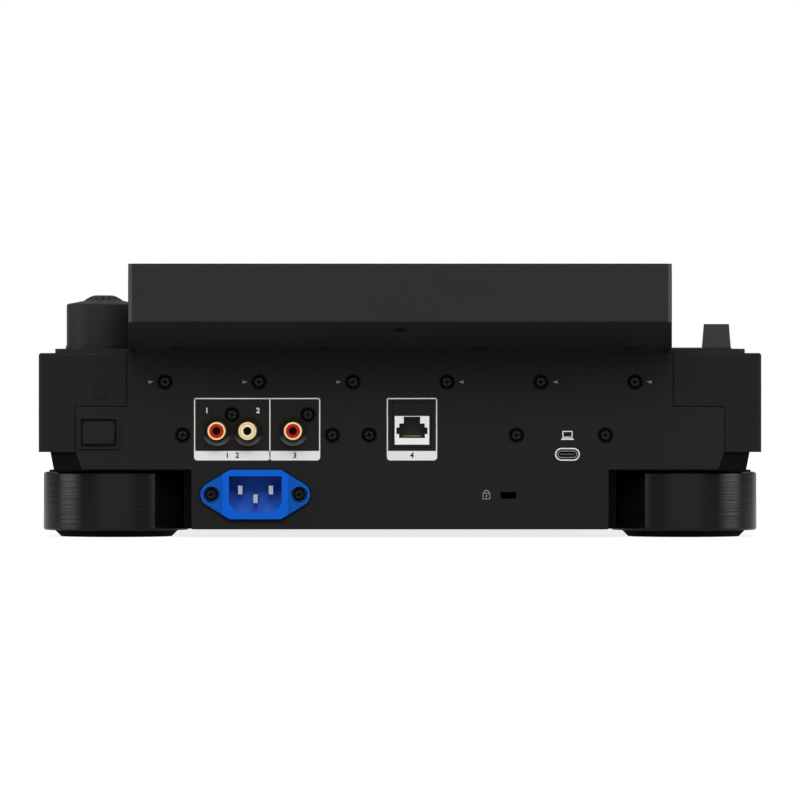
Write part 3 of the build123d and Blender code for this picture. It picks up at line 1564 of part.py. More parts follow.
with BuildPart() as disc_spindle:
    with BuildSketch(at_y(spindle_y)):
        with BuildLine():
            Polyline(
                (0, drive_z),
                (spindle_shaft_radius, drive_z),
                (spindle_shaft_radius, spindle_top_z - spindle_cone_height - spindle_thickness),
                (spindle_radius, spindle_top_z - spindle_cone_height - spindle_thickness),
                (spindle_radius, spindle_top_z - spindle_cone_height),
                (spindle_cone_radius, spindle_top_z - spindle_cone_height),
                (spindle_cone_radius - spindle_cone_height / 2, spindle_top_z),
                (0, spindle_top_z),
                close=True,
            )
        make_face()
    revolve(axis=Axis((0, spindle_y, 0), (0, 0, 1)))
disc_spindle.part.label = "disc_spindle"
export_step(disc_spindle.part, "parts/disc_spindle.step")

sled_y = spindle_y + sled_start
with BuildPart() as pickup_sled:
    with BuildSketch(Plane((0, sled_y, sled_top_z))):
        Rectangle(sled_width, sled_length)
    extrude(amount=-sled_height)
    with BuildSketch(Plane((0, sled_y, sled_top_z))):
        Circle(sled_lens_radius)
    extrude(amount=sled_lens_height)
    with BuildSketch(at_y(sled_y + sled_length / 2)):
        with Locations((-sled_rod_pitch / 2, rod_z), (sled_rod_pitch / 2, rod_z)):
            Circle(sled_rod_radius + running_gap)
    extrude(amount=sled_length, mode=Mode.SUBTRACT)
pickup_sled.part.label = "pickup_sled"
export_step(pickup_sled.part, "parts/pickup_sled.step")

with BuildPart() as feed_roller:
    with BuildSketch(Plane.YZ.offset(-drive_width / 2)):
        with Locations((drive_front_y + roller_setback, disc_low_z - disc_gap - roller_radius)):
            Circle(roller_pin_radius)
    extrude(amount=drive_width)
    with BuildSketch(Plane.YZ.offset(-drive_width / 2 + drive_wall + seam_gap)):
        with Locations((drive_front_y + roller_setback, disc_low_z - disc_gap - roller_radius)):
            Circle(roller_radius)
    extrude(amount=drive_width - 2 * drive_wall - 2 * seam_gap)
feed_roller.part.label = "feed_roller"
export_step(feed_roller.part, "parts/feed_roller.step")
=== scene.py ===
import math

import bmesh
import bpy
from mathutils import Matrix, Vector


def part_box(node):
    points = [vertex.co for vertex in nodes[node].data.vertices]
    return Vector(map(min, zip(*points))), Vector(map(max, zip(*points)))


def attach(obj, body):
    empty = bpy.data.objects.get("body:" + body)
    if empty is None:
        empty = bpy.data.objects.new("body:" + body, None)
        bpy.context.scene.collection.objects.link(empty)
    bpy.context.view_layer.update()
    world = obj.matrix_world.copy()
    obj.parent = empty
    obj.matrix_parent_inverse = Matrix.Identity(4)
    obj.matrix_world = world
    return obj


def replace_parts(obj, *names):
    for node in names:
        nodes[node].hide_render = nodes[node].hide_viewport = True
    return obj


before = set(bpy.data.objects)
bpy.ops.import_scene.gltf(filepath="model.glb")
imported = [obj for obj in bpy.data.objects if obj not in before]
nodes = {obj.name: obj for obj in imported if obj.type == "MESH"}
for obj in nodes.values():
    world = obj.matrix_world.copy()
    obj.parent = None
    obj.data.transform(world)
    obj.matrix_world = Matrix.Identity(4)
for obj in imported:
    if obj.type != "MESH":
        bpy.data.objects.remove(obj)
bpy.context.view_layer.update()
scene = bpy.context.scene
MM = 0.001

# Faces that carry the trim, in millimetres.
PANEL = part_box("rear_panel")[1].y / MM - 0.9
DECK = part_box("top_deck")[1].z / MM
KEY_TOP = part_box("hot_cue_1")[1].z / MM
ROUND_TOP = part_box("play_button")[1].z / MM - 0.8
JOG_FACE = 94.2
ADJUST_TOP = 95.8
FADER_GROOVE = 94.6

# The display housing's sloping underside: its height over the panel's face, and its rise.
UNDERSIDE_Z, UNDERSIDE_RISE = 84.05, 0.2833

# Middles of what the trim belongs to: X and Z on the rear panel.
INLET = (65.8, 19.6)
DATA_SOCKET = (-76.2, 37.9)
LOCK_SLOT = (-39.3, 18.9)
POWER_SIGN = (136.7, 66.7)
NETWORK_X = -5.45
JACK_Z = 48.5
DISC_SLOT_Z = 52.4

# The same from above: X and Y.
JOG = (0.0, -86.0)
PLAY = (-135.0, -190.0)
CUE = (-135.0, -148.0)
ADJUST = (135.0, -40.0)
FADER = (135.0, -158.0)
SELECTOR = (136.6, 140.0)
LEVER = (-150.3, 45.0)


# ---------------------------------------------------------------- node trees
class Wire:
    """A value in a node tree. Sums and products of wires add Math nodes."""

    def __init__(self, graph, socket):
        self.graph, self.socket = graph, socket

    def math(self, operation, *others):
        return self.graph.math(operation, self, *others)

    def __add__(self, other):
        return self.math("ADD", other)

    def __sub__(self, other):
        return self.math("SUBTRACT", other)

    def __rsub__(self, other):
        return self.graph.math("SUBTRACT", other, self)

    def __mul__(self, other):
        return self.math("MULTIPLY", other)

    def __truediv__(self, other):
        return self.math("DIVIDE", other)

    def __abs__(self):
        return self.math("ABSOLUTE")

    def __lt__(self, other):
        return self.math("LESS_THAN", other)

    def __gt__(self, other):
        return self.math("GREATER_THAN", other)

    __radd__, __rmul__ = __add__, __mul__


class Graph:
    """A node tree under construction."""

    def __init__(self, tree):
        self.tree = tree
        tree.nodes.clear()

    def add(self, kind, settings=(), inputs=(), output=0):
        """Makes one node: its settings first, then the values or wires of its sockets."""
        made = self.tree.nodes.new(kind)
        for name, value in dict(settings).items():
            setattr(made, name, value)
        for name, value in dict(inputs).items():
            for part in value if isinstance(value, list) else [value]:
                if isinstance(part, Wire):
                    self.tree.links.new(part.socket, made.inputs[name])
                else:
                    made.inputs[name].default_value = part
        return Wire(self, made.outputs[output]) if made.outputs else made

    def math(self, operation, *values):
        return self.add("ShaderNodeMath", {"operation": operation}, dict(enumerate(values)))

    def mix(self, mask, colour, other):
        return self.add("ShaderNodeMix", {"data_type": "RGBA"}, {0: mask, 6: colour, 7: other}, 2)

    def axis(self, vector, name):
        return self.add("ShaderNodeSeparateXYZ", (), {0: vector}, name)

    def ray(self, kind):
        return self.add("ShaderNodeLightPath", output=f"Is {kind} Ray")

    def ramp(self, value, start, end, low, high, kind="SMOOTHSTEP"):
        """A step of the value, from low at start to high at end."""
        inputs = {"Value": value, 1: start, 2: end, 3: low, 4: high}
        return self.add("ShaderNodeMapRange", {"interpolation_type": kind}, inputs)

    def noise(self, vector, size, detail=2.0):
        inputs = {"Vector": vector, "Scale": 1 / (size * MM), "Detail": detail}
        return self.add("ShaderNodeTexNoise", (), inputs)


def tone(red, green, blue):
    """A colour from its 0 to 255 screen values."""
    levels = (red, green, blue)
    linear = [((c / 255 + 0.055) / 1.055) ** 2.4 if c > 10 else c / 3295 for c in levels]
    return (*linear, 1.0)


def grey(level):
    return tone(level, level, level)


# ---------------------------------------------------------------- patterns of the finishes
def grain(size):
    """A fine even grain, size in millimetres."""
    return lambda graph, place: graph.noise(place, size)


def brushed(size, stretch):
    """A grain drawn out along X, Y and Z by the given factors."""

    def height(graph, place):
        drawn = graph.add("ShaderNodeVectorMath", {"operation": "DIVIDE"}, {0: place, 1: stretch})
        return graph.noise(drawn, size, 3.0)

    return height


def distance(graph, place, x, y):
    """Distance from an upright axis, in millimetres."""
    across = graph.axis(place, "X") / MM - x
    along = graph.axis(place, "Y") / MM - y
    return (across * across + along * along).math("SQRT")


def turned(x, y, pitch):
    """Lines turned round an upright axis."""

    def height(graph, place):
        inputs = {"W": distance(graph, place, x, y) / pitch, "Scale": 1.0, "Detail": 2.0}
        lines = graph.add("ShaderNodeTexNoise", {"noise_dimensions": "1D"}, inputs)
        return lines * 0.8 + graph.noise(place, 0.6) * 0.2

    return height


def beyond(x, y, radius):
    """The zone further than radius from an upright axis."""
    return lambda graph, place: distance(graph, place, x, y) > radius


def behind(y):
    """The zone deeper in the machine than this Y, seen from the rear."""
    return lambda graph, place: graph.axis(place, "Y") < y * MM


def aside(x, width):
    """The zone further than width from this X on either side."""
    return lambda graph, place: abs(graph.axis(place, "X") / MM - x) > width


def upright(x, z, width, height):
    """The zone of an upright rectangle about (x, z), right through the machine."""

    def mask(graph, place):
        across = abs(graph.axis(place, "X") / MM - x) < width / 2
        return across * (abs(graph.axis(place, "Z") / MM - z) < height / 2)

    return mask


def rear_corners(x, y):
    """The zone beyond this X on either side, at the rear."""

    def mask(graph, place):
        return (abs(graph.axis(place, "X")) > x * MM) * (graph.axis(place, "Y") > y * MM)

    return mask


def under(z, run):
    """A soft zone that begins below this height and is full after the run."""

    def mask(graph, place):
        deep = (z - graph.axis(place, "Z") / MM) / run
        return deep.math("MAXIMUM", 0.0).math("MINIMUM", 1.0)

    return mask


def underside(graph, place):
    """The zone of the display housing's sloping rear underside, which is painted darker as painted
    shade.
    """
    ahead = graph.axis(place, "Y") / MM - PANEL
    over = graph.axis(place, "Z") / MM - UNDERSIDE_Z - ahead * UNDERSIDE_RISE
    return (ahead > 0.2) * (over < 0.12)


def as_vector(colour):
    """A colour as a vector socket takes it; a wire stays a wire."""
    return colour if isinstance(colour, Wire) else colour[:3]


def finish(
    name, colour, rough, pattern, relief,
    drift=0.16, edge=0.0, metal=0.0, spec=0.5, zones=(), **shader,
):
    """A finish whose colour and gloss drift a little, with a relief in millimetres.

    metal and spec are the shader's metallic and specular levels. Each zone is (mask, colour,
    roughness), is not metallic and lies over what comes before it.
    """
    made = bpy.data.materials.new(name)
    made.use_nodes = True
    graph = Graph(made.node_tree)
    place = graph.add("ShaderNodeTexCoord", output="Object")
    height = pattern(graph, place)
    for mask_of, zone_colour, zone_rough in zones:
        mask = mask_of(graph, place)
        colour = graph.mix(mask, colour, zone_colour)
        rough = mask * (zone_rough - rough) + rough
        if metal:
            metal = (1.0 - mask) * metal
    cloud = graph.noise(place, 30.0, 3.0)
    shade = (cloud + height - 1.0) * drift + 1.0
    scaled = {0: as_vector(colour), "Scale": shade}
    bump = {"Height": height, "Distance": relief * MM}
    if edge:
        bump["Normal"] = graph.add("ShaderNodeBevel", {"samples": 4}, {"Radius": edge * MM})
    inputs = {
        "Base Color": graph.add("ShaderNodeVectorMath", {"operation": "SCALE"}, scaled),
        "Roughness": (height - 0.5) * 0.14 + rough,
        "Metallic": metal,
        "Specular IOR Level": spec,
        "Normal": graph.add("ShaderNodeBump", (), bump),
        **shader,
    }
    surface = graph.add("ShaderNodeBsdfPrincipled", (), inputs)
    graph.add("ShaderNodeOutputMaterial", (), {"Surface": surface})
    return made


# The case, its panels and the feet.
case_black = finish("case_black", grey(25), 0.55, grain(0.35), 0.012, edge=0.5, spec=0.15)
display_black = finish(
    "display_black", grey(33), 0.6, grain(0.35), 0.012, edge=0.4, spec=0.3,
    # The rear corners are painted lighter and glossier: the lighter grey is a painted highlight on
    # their edges. The sloping underside is painted darker: painted shade.
    zones=[(rear_corners(120.1, 224.9), grey(42), 0.3), (underside, grey(19), 0.7)],
)
panel_black = finish("panel_black", grey(30), 0.65, grain(0.28), 0.014, edge=0.25, spec=0.12)
deck_black = finish("deck_black", grey(28), 0.45, grain(0.5), 0.01, edge=0.3, spec=0.25)
# The bottom chassis is black, painted darker than the panel as painted shade under the case.
chassis_black = finish("chassis_black", grey(8), 0.65, grain(0.4), 0.015, edge=0.3, spec=0.1)
zinc_steel = finish("zinc_steel", grey(170), 0.38, brushed(0.5, (1, 9, 1)), 0.01, metal=1.0)
shaft_steel = finish("shaft_steel", grey(190), 0.25, grain(0.3), 0.006, metal=1.0)
foot_black = finish(
    "foot_black", grey(10), 0.13, brushed(0.8, (60, 60, 0.7)), 0.02, drift=0.7, edge=0.3, spec=0.28
)
rubber = finish("rubber", grey(14), 0.8, grain(0.5), 0.03, spec=0.1)
screw_black = finish("screw_black", grey(19), 0.42, grain(0.3), 0.01, edge=0.12, spec=0.35)
# Near black. In the screws' cross recesses, on their crowned edges, in the cups round them and on
# the tub's ribs it is painted shade.
recess_black = finish("recess_black", grey(6), 0.6, grain(0.3), 0.01, spec=0.1)

# The display and the jog wheel.
dark_glass = finish(
    "dark_glass", tone(6, 7, 9), 0.06, grain(8.0), 0.0005, drift=0.05, spec=0.42,
    **{"Coat Weight": 0.08},
)
screen_off = finish("screen_off", tone(10, 12, 15), 0.12, grain(0.25), 0.0008)
jog_ring = finish("jog_ring", grey(58), 0.34, turned(*JOG, 0.35), 0.012, edge=0.4, metal=0.7)
jog_top = finish("jog_top", grey(82), 0.3, turned(*JOG, 0.5), 0.012, edge=0.3, metal=0.85)
gloss_black = finish("gloss_black", grey(16), 0.14, grain(6.0), 0.001, edge=0.3)
natural_plastic = finish("natural_plastic", grey(215), 0.45, grain(0.6), 0.01, edge=0.2)

# Keys, knobs, lever and boards. Play and cue are turned caps, coloured beyond this radius.
RING = 13.6
key_grey = finish("key_grey", grey(104), 0.5, grain(0.3), 0.012, edge=0.35)
key_dark = finish("key_dark", grey(40), 0.5, grain(0.3), 0.012, edge=0.3, spec=0.3)
pad_grey = finish("pad_grey", grey(66), 0.55, grain(0.3), 0.015, edge=0.4, spec=0.35)
play_cap = finish(
    "play_cap", grey(120), 0.32, turned(*PLAY, 0.3), 0.008, edge=0.3, metal=0.9,
    zones=[(beyond(*PLAY, RING), tone(46, 120, 62), 0.22)],
)
cue_cap = finish(
    "cue_cap", grey(120), 0.32, turned(*CUE, 0.3), 0.008, edge=0.3, metal=0.9,
    zones=[(beyond(*CUE, RING), tone(176, 104, 30), 0.22)],
)
knob_black = finish("knob_black", grey(36), 0.48, grain(0.3), 0.01, edge=0.35, spec=0.3, IOR=1.3)
lever_grey = finish("lever_grey", grey(48), 0.45, grain(0.3), 0.01, edge=0.35, spec=0.25)
power_black = finish("power_black", grey(19), 0.5, grain(0.3), 0.01, edge=0.4, spec=0.25)
board_green = finish("board_green", tone(20, 84, 52), 0.35, grain(1.2), 0.02)

# The sockets.
inlet_blue = finish(
    "inlet_blue", tone(4, 88, 196), 0.42, grain(0.5), 0.008, drift=0.08, edge=0.3, spec=0.15,
    zones=[
        # The flange's ends are painted darker: painted shade.
        (aside(INLET[0], 15.0), tone(4, 78, 168), 0.42),
        # The well behind the mouth is painted lighter: painted light where little light reaches.
        (behind(PANEL + 1.5), tone(58, 112, 205), 0.5),
    ],
)
pin_silver = finish(
    "pin_silver", tone(176, 184, 200), 0.3, grain(0.4), 0.005, edge=0.2, metal=0.35
)
port_nickel = finish(
    "port_nickel", grey(145), 0.35, grain(0.4), 0.005, metal=0.5,
    zones=[
        (behind(PANEL - 0.2), grey(30), 0.5),
        (upright(*DATA_SOCKET, 6.8, 0.9), grey(62), 0.5),
    ],
)
dish_black = finish(
    "dish_black", grey(24), 0.42, grain(0.3), 0.006, spec=0.25,
    # Painted lighter below the jacks' middles: a painted highlight on the dishes' lower walls.
    zones=[(under(JACK_Z - 2.0, 5.0), grey(125), 0.42)],
)
jack_black = finish("jack_black", grey(24), 0.4, grain(0.3), 0.01, edge=0.2, spec=0.3)
shell_silver = finish(
    "shell_silver", grey(236), 0.35, grain(0.4), 0.008, edge=0.15, metal=0.2,
    zones=[(behind(PANEL - 0.4), grey(40), 0.5)],
)
gold = finish("gold", tone(252, 222, 156), 0.25, grain(0.3), 0.004, metal=0.4, spec=0.6)
insert_red = finish("insert_red", tone(186, 20, 6), 0.4, grain(0.4), 0.01, edge=0.1, spec=0.2)
insert_cream = finish("insert_cream", tone(228, 214, 182), 0.35, grain(0.4), 0.01, edge=0.1)

# Print, and a black for painted shade in gaps.
print_white = finish("print_white", grey(218), 0.55, grain(0.25), 0.004, drift=0.1)
print_grey = finish("print_grey", grey(120), 0.55, grain(0.25), 0.004, drift=0.1)
print_dark = finish("print_dark", grey(20), 0.55, grain(0.25), 0.004, drift=0.1, spec=0.15)
# Painted shade in the gaps round the inlet and the network socket's window.
gap_shade_black = finish("gap_shade_black", grey(4), 0.5, grain(0.25), 0.004, drift=0.1, spec=0.1)

# What each finish covers.
FINISHES = {
    case_black: "top_case",
    display_black: "display_housing",
    panel_black: "rear_panel",
    deck_black: "top_deck",
    chassis_black: "bottom_chassis",
    zinc_steel: "jog_bracket drive_chassis lever_frame",
    shaft_steel: "selector_shaft disc_spindle foot_screws",
    foot_black: "feet",
    rubber: "foot_pads feed_roller",
    screw_black: "case_screws",
    dark_glass: "display_glass jog_display",
    screen_off: "lcd_module",
    jog_ring: "jog_wheel",
    jog_top: "jog_plate",
    gloss_black: "jog_surround slot_bezel",
    natural_plastic: "encoder_gear pickup_sled",
    key_grey: "search_back_button search_forward_button track_back_button track_forward_button "
    "master_tempo_button eject_button back_button",
    key_dark: "loop_in_button loop_out_button reloop_button",
    pad_grey: " ".join(f"hot_cue_{number}" for number in range(1, 9)),
    play_cap: "play_button",
    cue_cap: "cue_button",
    knob_black: "selector_knob jog_adjust_knob tempo_fader",
    lever_grey: "direction_lever",
    power_black: "power_button power_switch selector_encoder fader_unit",
    board_green: "control_boards main_board power_supply",
    inlet_blue: "ac_inlet",
    pin_silver: "ac_pins",
    port_nickel: "usb_c_port",
    jack_black: "rca_jacks",
    shell_silver: "lan_port",
}
for paint, names in FINISHES.items():
    for name in names.split():
        nodes[name].data.materials.clear()
        nodes[name].data.materials.append(paint)


# ---------------------------------------------------------------- meshes
# How deep print sinks into its face and how far it stands out, and how much numbers thicken.
SINK, PROUD, BOLD = -0.02, 0.05, 0.09


def facing_back(y):
    """Places points on an upright face at this Y: X, Z and how far they stand out."""
    return lambda u, w, h: Vector((u, y + h, w)) * MM


def level(z):
    """Places points on a level face at this Z: X, Y and how far they stand out."""
    return lambda u, w, h: Vector((u, w, z + h)) * MM


def about(place, x, y):
    """The same face, with its middle moved."""
    return lambda u, w, h: place(x + u, y + w, h)


on_panel = facing_back(PANEL)
on_deck, on_key, on_round = level(DECK), level(KEY_TOP), level(ROUND_TOP)


def mesh_of(name, shape, paint):
    """Turns a bmesh into a painted mesh with its normals outwards."""
    bmesh.ops.remove_doubles(shape, verts=shape.verts, dist=1e-7)
    bmesh.ops.recalc_face_normals(shape, faces=shape.faces)
    mesh = bpy.data.meshes.new(name)
    shape.to_mesh(mesh)
    shape.free()
    mesh.materials.append(paint)
    return mesh


def piece(name, shape, paint, slot, body="player"):
    """Makes a mesh or a bmesh a finished piece."""
    mesh = mesh_of(name, shape, paint) if isinstance(shape, bmesh.types.BMesh) else shape
    made = bpy.data.objects.new(name, mesh)
    scene.collection.objects.link(made)
    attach(made, body)
    return made


def sides(shape, row, other):
    """The faces between two closed rows of as many points."""
    for this in range(len(row)):
        after = (this + 1) % len(row)
        shape.faces.new((row[this], row[after], other[after], other[this]))


def loft(shape, rows):
    """A closed body through the rows, with a face at each end."""
    for row, after in zip(rows, rows[1:]):
        sides(shape, row, after)
    shape.faces.new(rows[0])
    shape.faces.new(rows[-1])


def endless(shape, rows):
    """A closed body through the rows and back to the first one."""
    for this in range(len(rows)):
        sides(shape, rows[this], rows[(this + 1) % len(rows)])


def plate(shape, outline, place, low=SINK, high=PROUD):
    """A closed flat plate with this outline."""
    loft(shape, [[shape.verts.new(place(u, w, h)) for u, w in outline] for h in (low, high)])


def flat_piece(name, outlines, place, paint, slot, body="player", low=SINK, high=PROUD):
    """A piece of flat plates."""
    shape = bmesh.new()
    for outline in outlines:
        plate(shape, outline, place, low, high)
    piece(name, shape, paint, slot, body)


def hoop(shape, outer, inner, place, low=SINK, high=PROUD):
    """A closed flat ring between two outlines of as many points."""
    corners = ((outer, low), (outer, high), (inner, high), (inner, low))
    endless(shape, [[shape.verts.new(place(u, w, h)) for u, w in line] for line, h in corners])


FULL_TURN = [2 * math.pi * step / 48 for step in range(48)]


def lathe(shape, profile, place):
    """Turns a closed profile of (radius, height) round an axis."""
    rows = [
        [shape.verts.new(place(r * math.cos(a), r * math.sin(a), h)) for r, h in profile]
        for a in FULL_TURN
    ]
    endless(shape, rows)


def circle(u, w, radius):
    return [(u + radius * math.cos(a), w + radius * math.sin(a)) for a in FULL_TURN]


def rounded(u, w, width, height, radius, steps=6, corners=(1, 1, 1, 1)):
    """A rounded rectangle about (u, w), from its upper right corner on; a corner of 0 is sharp."""
    points = []
    for quarter, (side, rise) in enumerate(((1, 1), (-1, 1), (-1, -1), (1, -1))):
        round_by = max(radius * corners[quarter], 0.001)
        middle_u = u + side * (width / 2 - round_by)
        middle_w = w + rise * (height / 2 - round_by)
        for step in range(steps + 1):
            a = math.pi / 2 * (quarter + step / steps)
            points.append((middle_u + round_by * math.cos(a), middle_w + round_by * math.sin(a)))
    return points


def arc(u, w, radius, width, start, sweep, steps):
    """A band of an arc, angles in degrees."""
    angles = [math.radians(start + sweep * step / steps) for step in range(steps + 1)]
    outer, inner = (
        [(u + r * math.cos(a), w + r * math.sin(a)) for a in angles]
        for r in (radius + width / 2, radius - width / 2)
    )
    return outer + inner[::-1]


def triangle(u, w, length, height):
    """A triangle that points to +u, or to -u where length is negative."""
    base = u - length / 2
    return [(u + length / 2, w), (base, w + height / 2), (base, w - height / 2)]


def bar(u, w, width, height):
    return [
        (u + side * width / 2, w + rise * height / 2)
        for side, rise in ((1, 1), (-1, 1), (-1, -1), (1, -1))
    ]


def plain_mesh(carrier):
    """The evaluated mesh of a carrier object, which is removed."""
    mesh = bpy.data.meshes.new_from_object(
        carrier.evaluated_get(bpy.context.evaluated_depsgraph_get())
    )
    bpy.data.objects.remove(carrier)
    return mesh


def numeral(shape, text, u, w, size, place, flip=1):
    """Plain numbers, centred on (u, w). flip is -1 where the face is seen from +Y."""
    curve = bpy.data.curves.new("numeral", "FONT")
    curve.body, curve.size, curve.extrude, curve.offset = text, size, (PROUD - SINK) / 2, BOLD
    curve.align_x, curve.align_y = "CENTER", "CENTER"
    carrier = bpy.data.objects.new("numeral", curve)
    scene.collection.objects.link(carrier)
    mesh = plain_mesh(carrier)
    for vertex in mesh.vertices:
        x, y, z = vertex.co
        vertex.co = place(u + flip * x, w + y, z + (PROUD + SINK) / 2)
    shape.from_mesh(mesh)


# ---------------------------------------------------------------- geometry trees for what repeats
SOCKETS = {int: "NodeSocketInt", float: "NodeSocketFloat", tuple: "NodeSocketVector"}


def tree_with(name, numbers, materials=("Material",)):
    """A geometry tree with named inputs, and the wires of those inputs."""
    tree = bpy.data.node_groups.new(name, "GeometryNodeTree")

    def socket(label, kind, way="INPUT"):
        return tree.interface.new_socket(label, in_out=way, socket_type=kind)

    socket("Geometry", "NodeSocketGeometry")
    for label, value in numbers.items():
        socket(label, SOCKETS[type(value)]).default_value = value
    for label in materials:
        socket(label, "NodeSocketMaterial")
    socket("Geometry", "NodeSocketGeometry", "OUTPUT")
    graph = Graph(tree)
    entry = tree.nodes.new("NodeGroupInput")
    return graph, {output.name: Wire(graph, output) for output in entry.outputs if output.name}


def close_tree(graph, given, instance, rotation=(0.0, 0.0, 0.0)):
    """Puts the instance on each point of the host, and ends the tree."""
    inputs = {"Points": given["Geometry"], "Instance": instance, "Rotation": rotation}
    placed = graph.add("GeometryNodeInstanceOnPoints", (), inputs)
    real = graph.add("GeometryNodeRealizeInstances", (), {0: placed})
    inputs = {"Geometry": real, "Material": given["Material"]}
    painted = graph.add("GeometryNodeSetMaterial", (), inputs)
    if "Recess Material" in given:
        hollow = graph.add(
            "GeometryNodeInputNamedAttribute", {"data_type": "BOOLEAN"}, {"Name": "recess"}
        )
        inputs = {"Geometry": painted, "Selection": hollow, "Material": given["Recess Material"]}
        painted = graph.add("GeometryNodeSetMaterial", (), inputs)
    graph.add("NodeGroupOutput", (), {0: painted})
    return graph.tree


def combine(graph, x, y, z):
    return graph.add("ShaderNodeCombineXYZ", (), {0: x, 1: y, 2: z})


def raised(graph, shape, height):
    """The shape lifted along Z."""
    inputs = {"Geometry": shape, "Translation": combine(graph, 0.0, 0.0, height)}
    return graph.add("GeometryNodeTransform", (), inputs)


def turned_by(graph, angle):
    """A rotation about Z."""
    return graph.add("FunctionNodeEulerToRotation", (), {0: combine(graph, 0.0, 0.0, angle)})


def grow(name, tree, points, numbers, paint, slot):
    """Runs a tree on points, in millimetres, and keeps the result as a plain mesh piece."""
    host = bpy.data.meshes.new(name)
    host.from_pydata([Vector(point) * MM for point in points], [], [])
    carrier = bpy.data.objects.new(name, host)
    scene.collection.objects.link(carrier)
    modifier = carrier.modifiers.new("tree", "NODES")
    modifier.node_group = tree
    values = {**numbers, "Material": paint}
    for item in tree.interface.items_tree:
        if item.in_out == "INPUT" and item.name in values:
            modifier[item.identifier] = values[item.name]
    carrier.update_tag()
    return piece(name, plain_mesh(carrier), paint, slot)


def screw_tree():
    """A round head with a crowned edge and a cross recess, on each point of the host. The recess
    and the crowned edge take the recess material: painted shade.
    """
    graph, given = tree_with(
        "cross_recess_screw",
        {"Radius": 0.003, "Height": 0.0012, "Crown": 0.00115, "Slot Length": 0.0031,
         "Slot Width": 0.0007, "Slot Depth": 0.0009, "Facing": (0.0, 1.0, 0.0), "Turn": 0.3,
         "Seed": 3},
        ("Material", "Recess Material"),
    )
    radius, height, crown = given["Radius"], given["Height"], given["Crown"]
    length, width, depth = given["Slot Length"], given["Slot Width"], given["Slot Depth"]
    stem_height = height - crown

    def cone(top, tall):
        inputs = {"Vertices": 32, "Radius Top": top, "Radius Bottom": radius, "Depth": tall}
        return graph.add("GeometryNodeMeshCone", (), inputs)

    stem = cone(radius, stem_height)
    cap = raised(graph, cone(radius - crown, crown), stem_height)
    head = graph.add("GeometryNodeMeshBoolean", {"operation": "UNION"}, {"Mesh 2": [stem, cap]})
    slots = []
    for size in ((length, width), (width, length)):
        box = graph.add("GeometryNodeMeshCube", (), {"Size": combine(graph, *size, depth * 2)})
        slots.append(raised(graph, box, height))
    cut = {"Mesh 1": head, "Mesh 2": slots}
    head = graph.add("GeometryNodeMeshBoolean", {"operation": "DIFFERENCE"}, cut)
    spot = graph.add("GeometryNodeInputPosition")
    x, y, z = (graph.axis(spot, name) for name in "XYZ")
    # Faces deep in the cross and on the crowned edge are flagged for the recess material: painted
    # shade.
    deep = z < height - depth * 0.25
    away = (x * x + y * y).math("SQRT")
    inside, slope = away < length * 0.55, away > radius - crown * 0.6
    recess = {"Geometry": head, "Name": "recess", "Value": (deep * inside).math("MAXIMUM", slope)}
    face_flag = {"data_type": "BOOLEAN", "domain": "FACE"}
    head = graph.add("GeometryNodeStoreNamedAttribute", face_flag, recess)
    aim = graph.add(
        "FunctionNodeAlignRotationToVector", {"axis": "Z"}, {"Vector": given["Facing"]}
    )
    turn = graph.add(
        "FunctionNodeRandomValue", {"data_type": "FLOAT"},
        {2: given["Turn"] * -1.0, 3: given["Turn"], "Seed": given["Seed"]}, 1,
    )
    spin = {0: aim, 1: turned_by(graph, turn)}
    aim = graph.add("FunctionNodeRotateRotation", {"rotation_space": "LOCAL"}, spin)
    return close_tree(graph, given, head, aim)


def row_tree():
    """A row of bars from each point of the host."""
    graph, given = tree_with(
        "row_of_bars", {"Count": 8, "Step": (0.001, 0.0, 0.0), "Bar": (0.0005, 0.0005, 0.0005)}
    )
    inputs = {"Count": given["Count"], "Offset": given["Step"]}
    line = graph.add("GeometryNodeMeshLine", {"mode": "OFFSET"}, inputs)
    block = graph.add("GeometryNodeMeshCube", (), {"Size": given["Bar"]})
    row = graph.add("GeometryNodeInstanceOnPoints", (), {"Points": line, "Instance": block})
    return close_tree(graph, given, row)


def dial_tree():
    """Marks on an arc about each point of the host, each one turned to face the middle."""
    graph, given = tree_with(
        "marks_on_an_arc",
        {"Count": 60, "Radius": 0.01, "Start": 0.0, "Step Angle": 0.1,
         "Mark": (0.001, 0.0003, 0.0001)},
    )
    inputs = {"Count": given["Count"], "Offset": (0.0, 0.0, 0.0)}
    line = graph.add("GeometryNodeMeshLine", {"mode": "OFFSET"}, inputs)
    angle = graph.add("GeometryNodeInputIndex") * given["Step Angle"] + given["Start"]
    across, along = angle.math("COSINE") * given["Radius"], angle.math("SINE") * given["Radius"]
    spot = {"Geometry": line, "Position": combine(graph, across, along, 0.0)}
    ring = graph.add("GeometryNodeSetPosition", (), spot)
    block = graph.add("GeometryNodeMeshCube", (), {"Size": given["Mark"]})
    inputs = {"Points": ring, "Instance": block, "Rotation": turned_by(graph, angle)}
    dial = graph.add("GeometryNodeInstanceOnPoints", (), inputs)
    return close_tree(graph, given, dial)


screws, rows, dials = screw_tree(), row_tree(), dial_tree()

# ---------------------------------------------------------------- screws
# The Z of each row on the rear panel, and its places along X.
SCREW_ROWS = (
    (70.8, [(number - 2.5) * 42.76 for number in range(6)]),
    (46.6, (98.9, 30.8, 14.0, -53.0, -93.5)),
    (55.9, (76.4, 41.9)),
)
panel_places = [(x, PANEL - 1.0, z) for z, row in SCREW_ROWS for x in row]
inlet_places = [(INLET[0] + side * 20.0, PANEL + 0.9, INLET[1]) for side in (-1, 1)]

# The display's underside: its slope, the way it faces, and the depth of its screws' recesses.
SLOPE = math.atan2(13.6, 48.0)
DOWN = (0.0, math.sin(SLOPE), -math.cos(SLOPE))
RECESS = 5.0


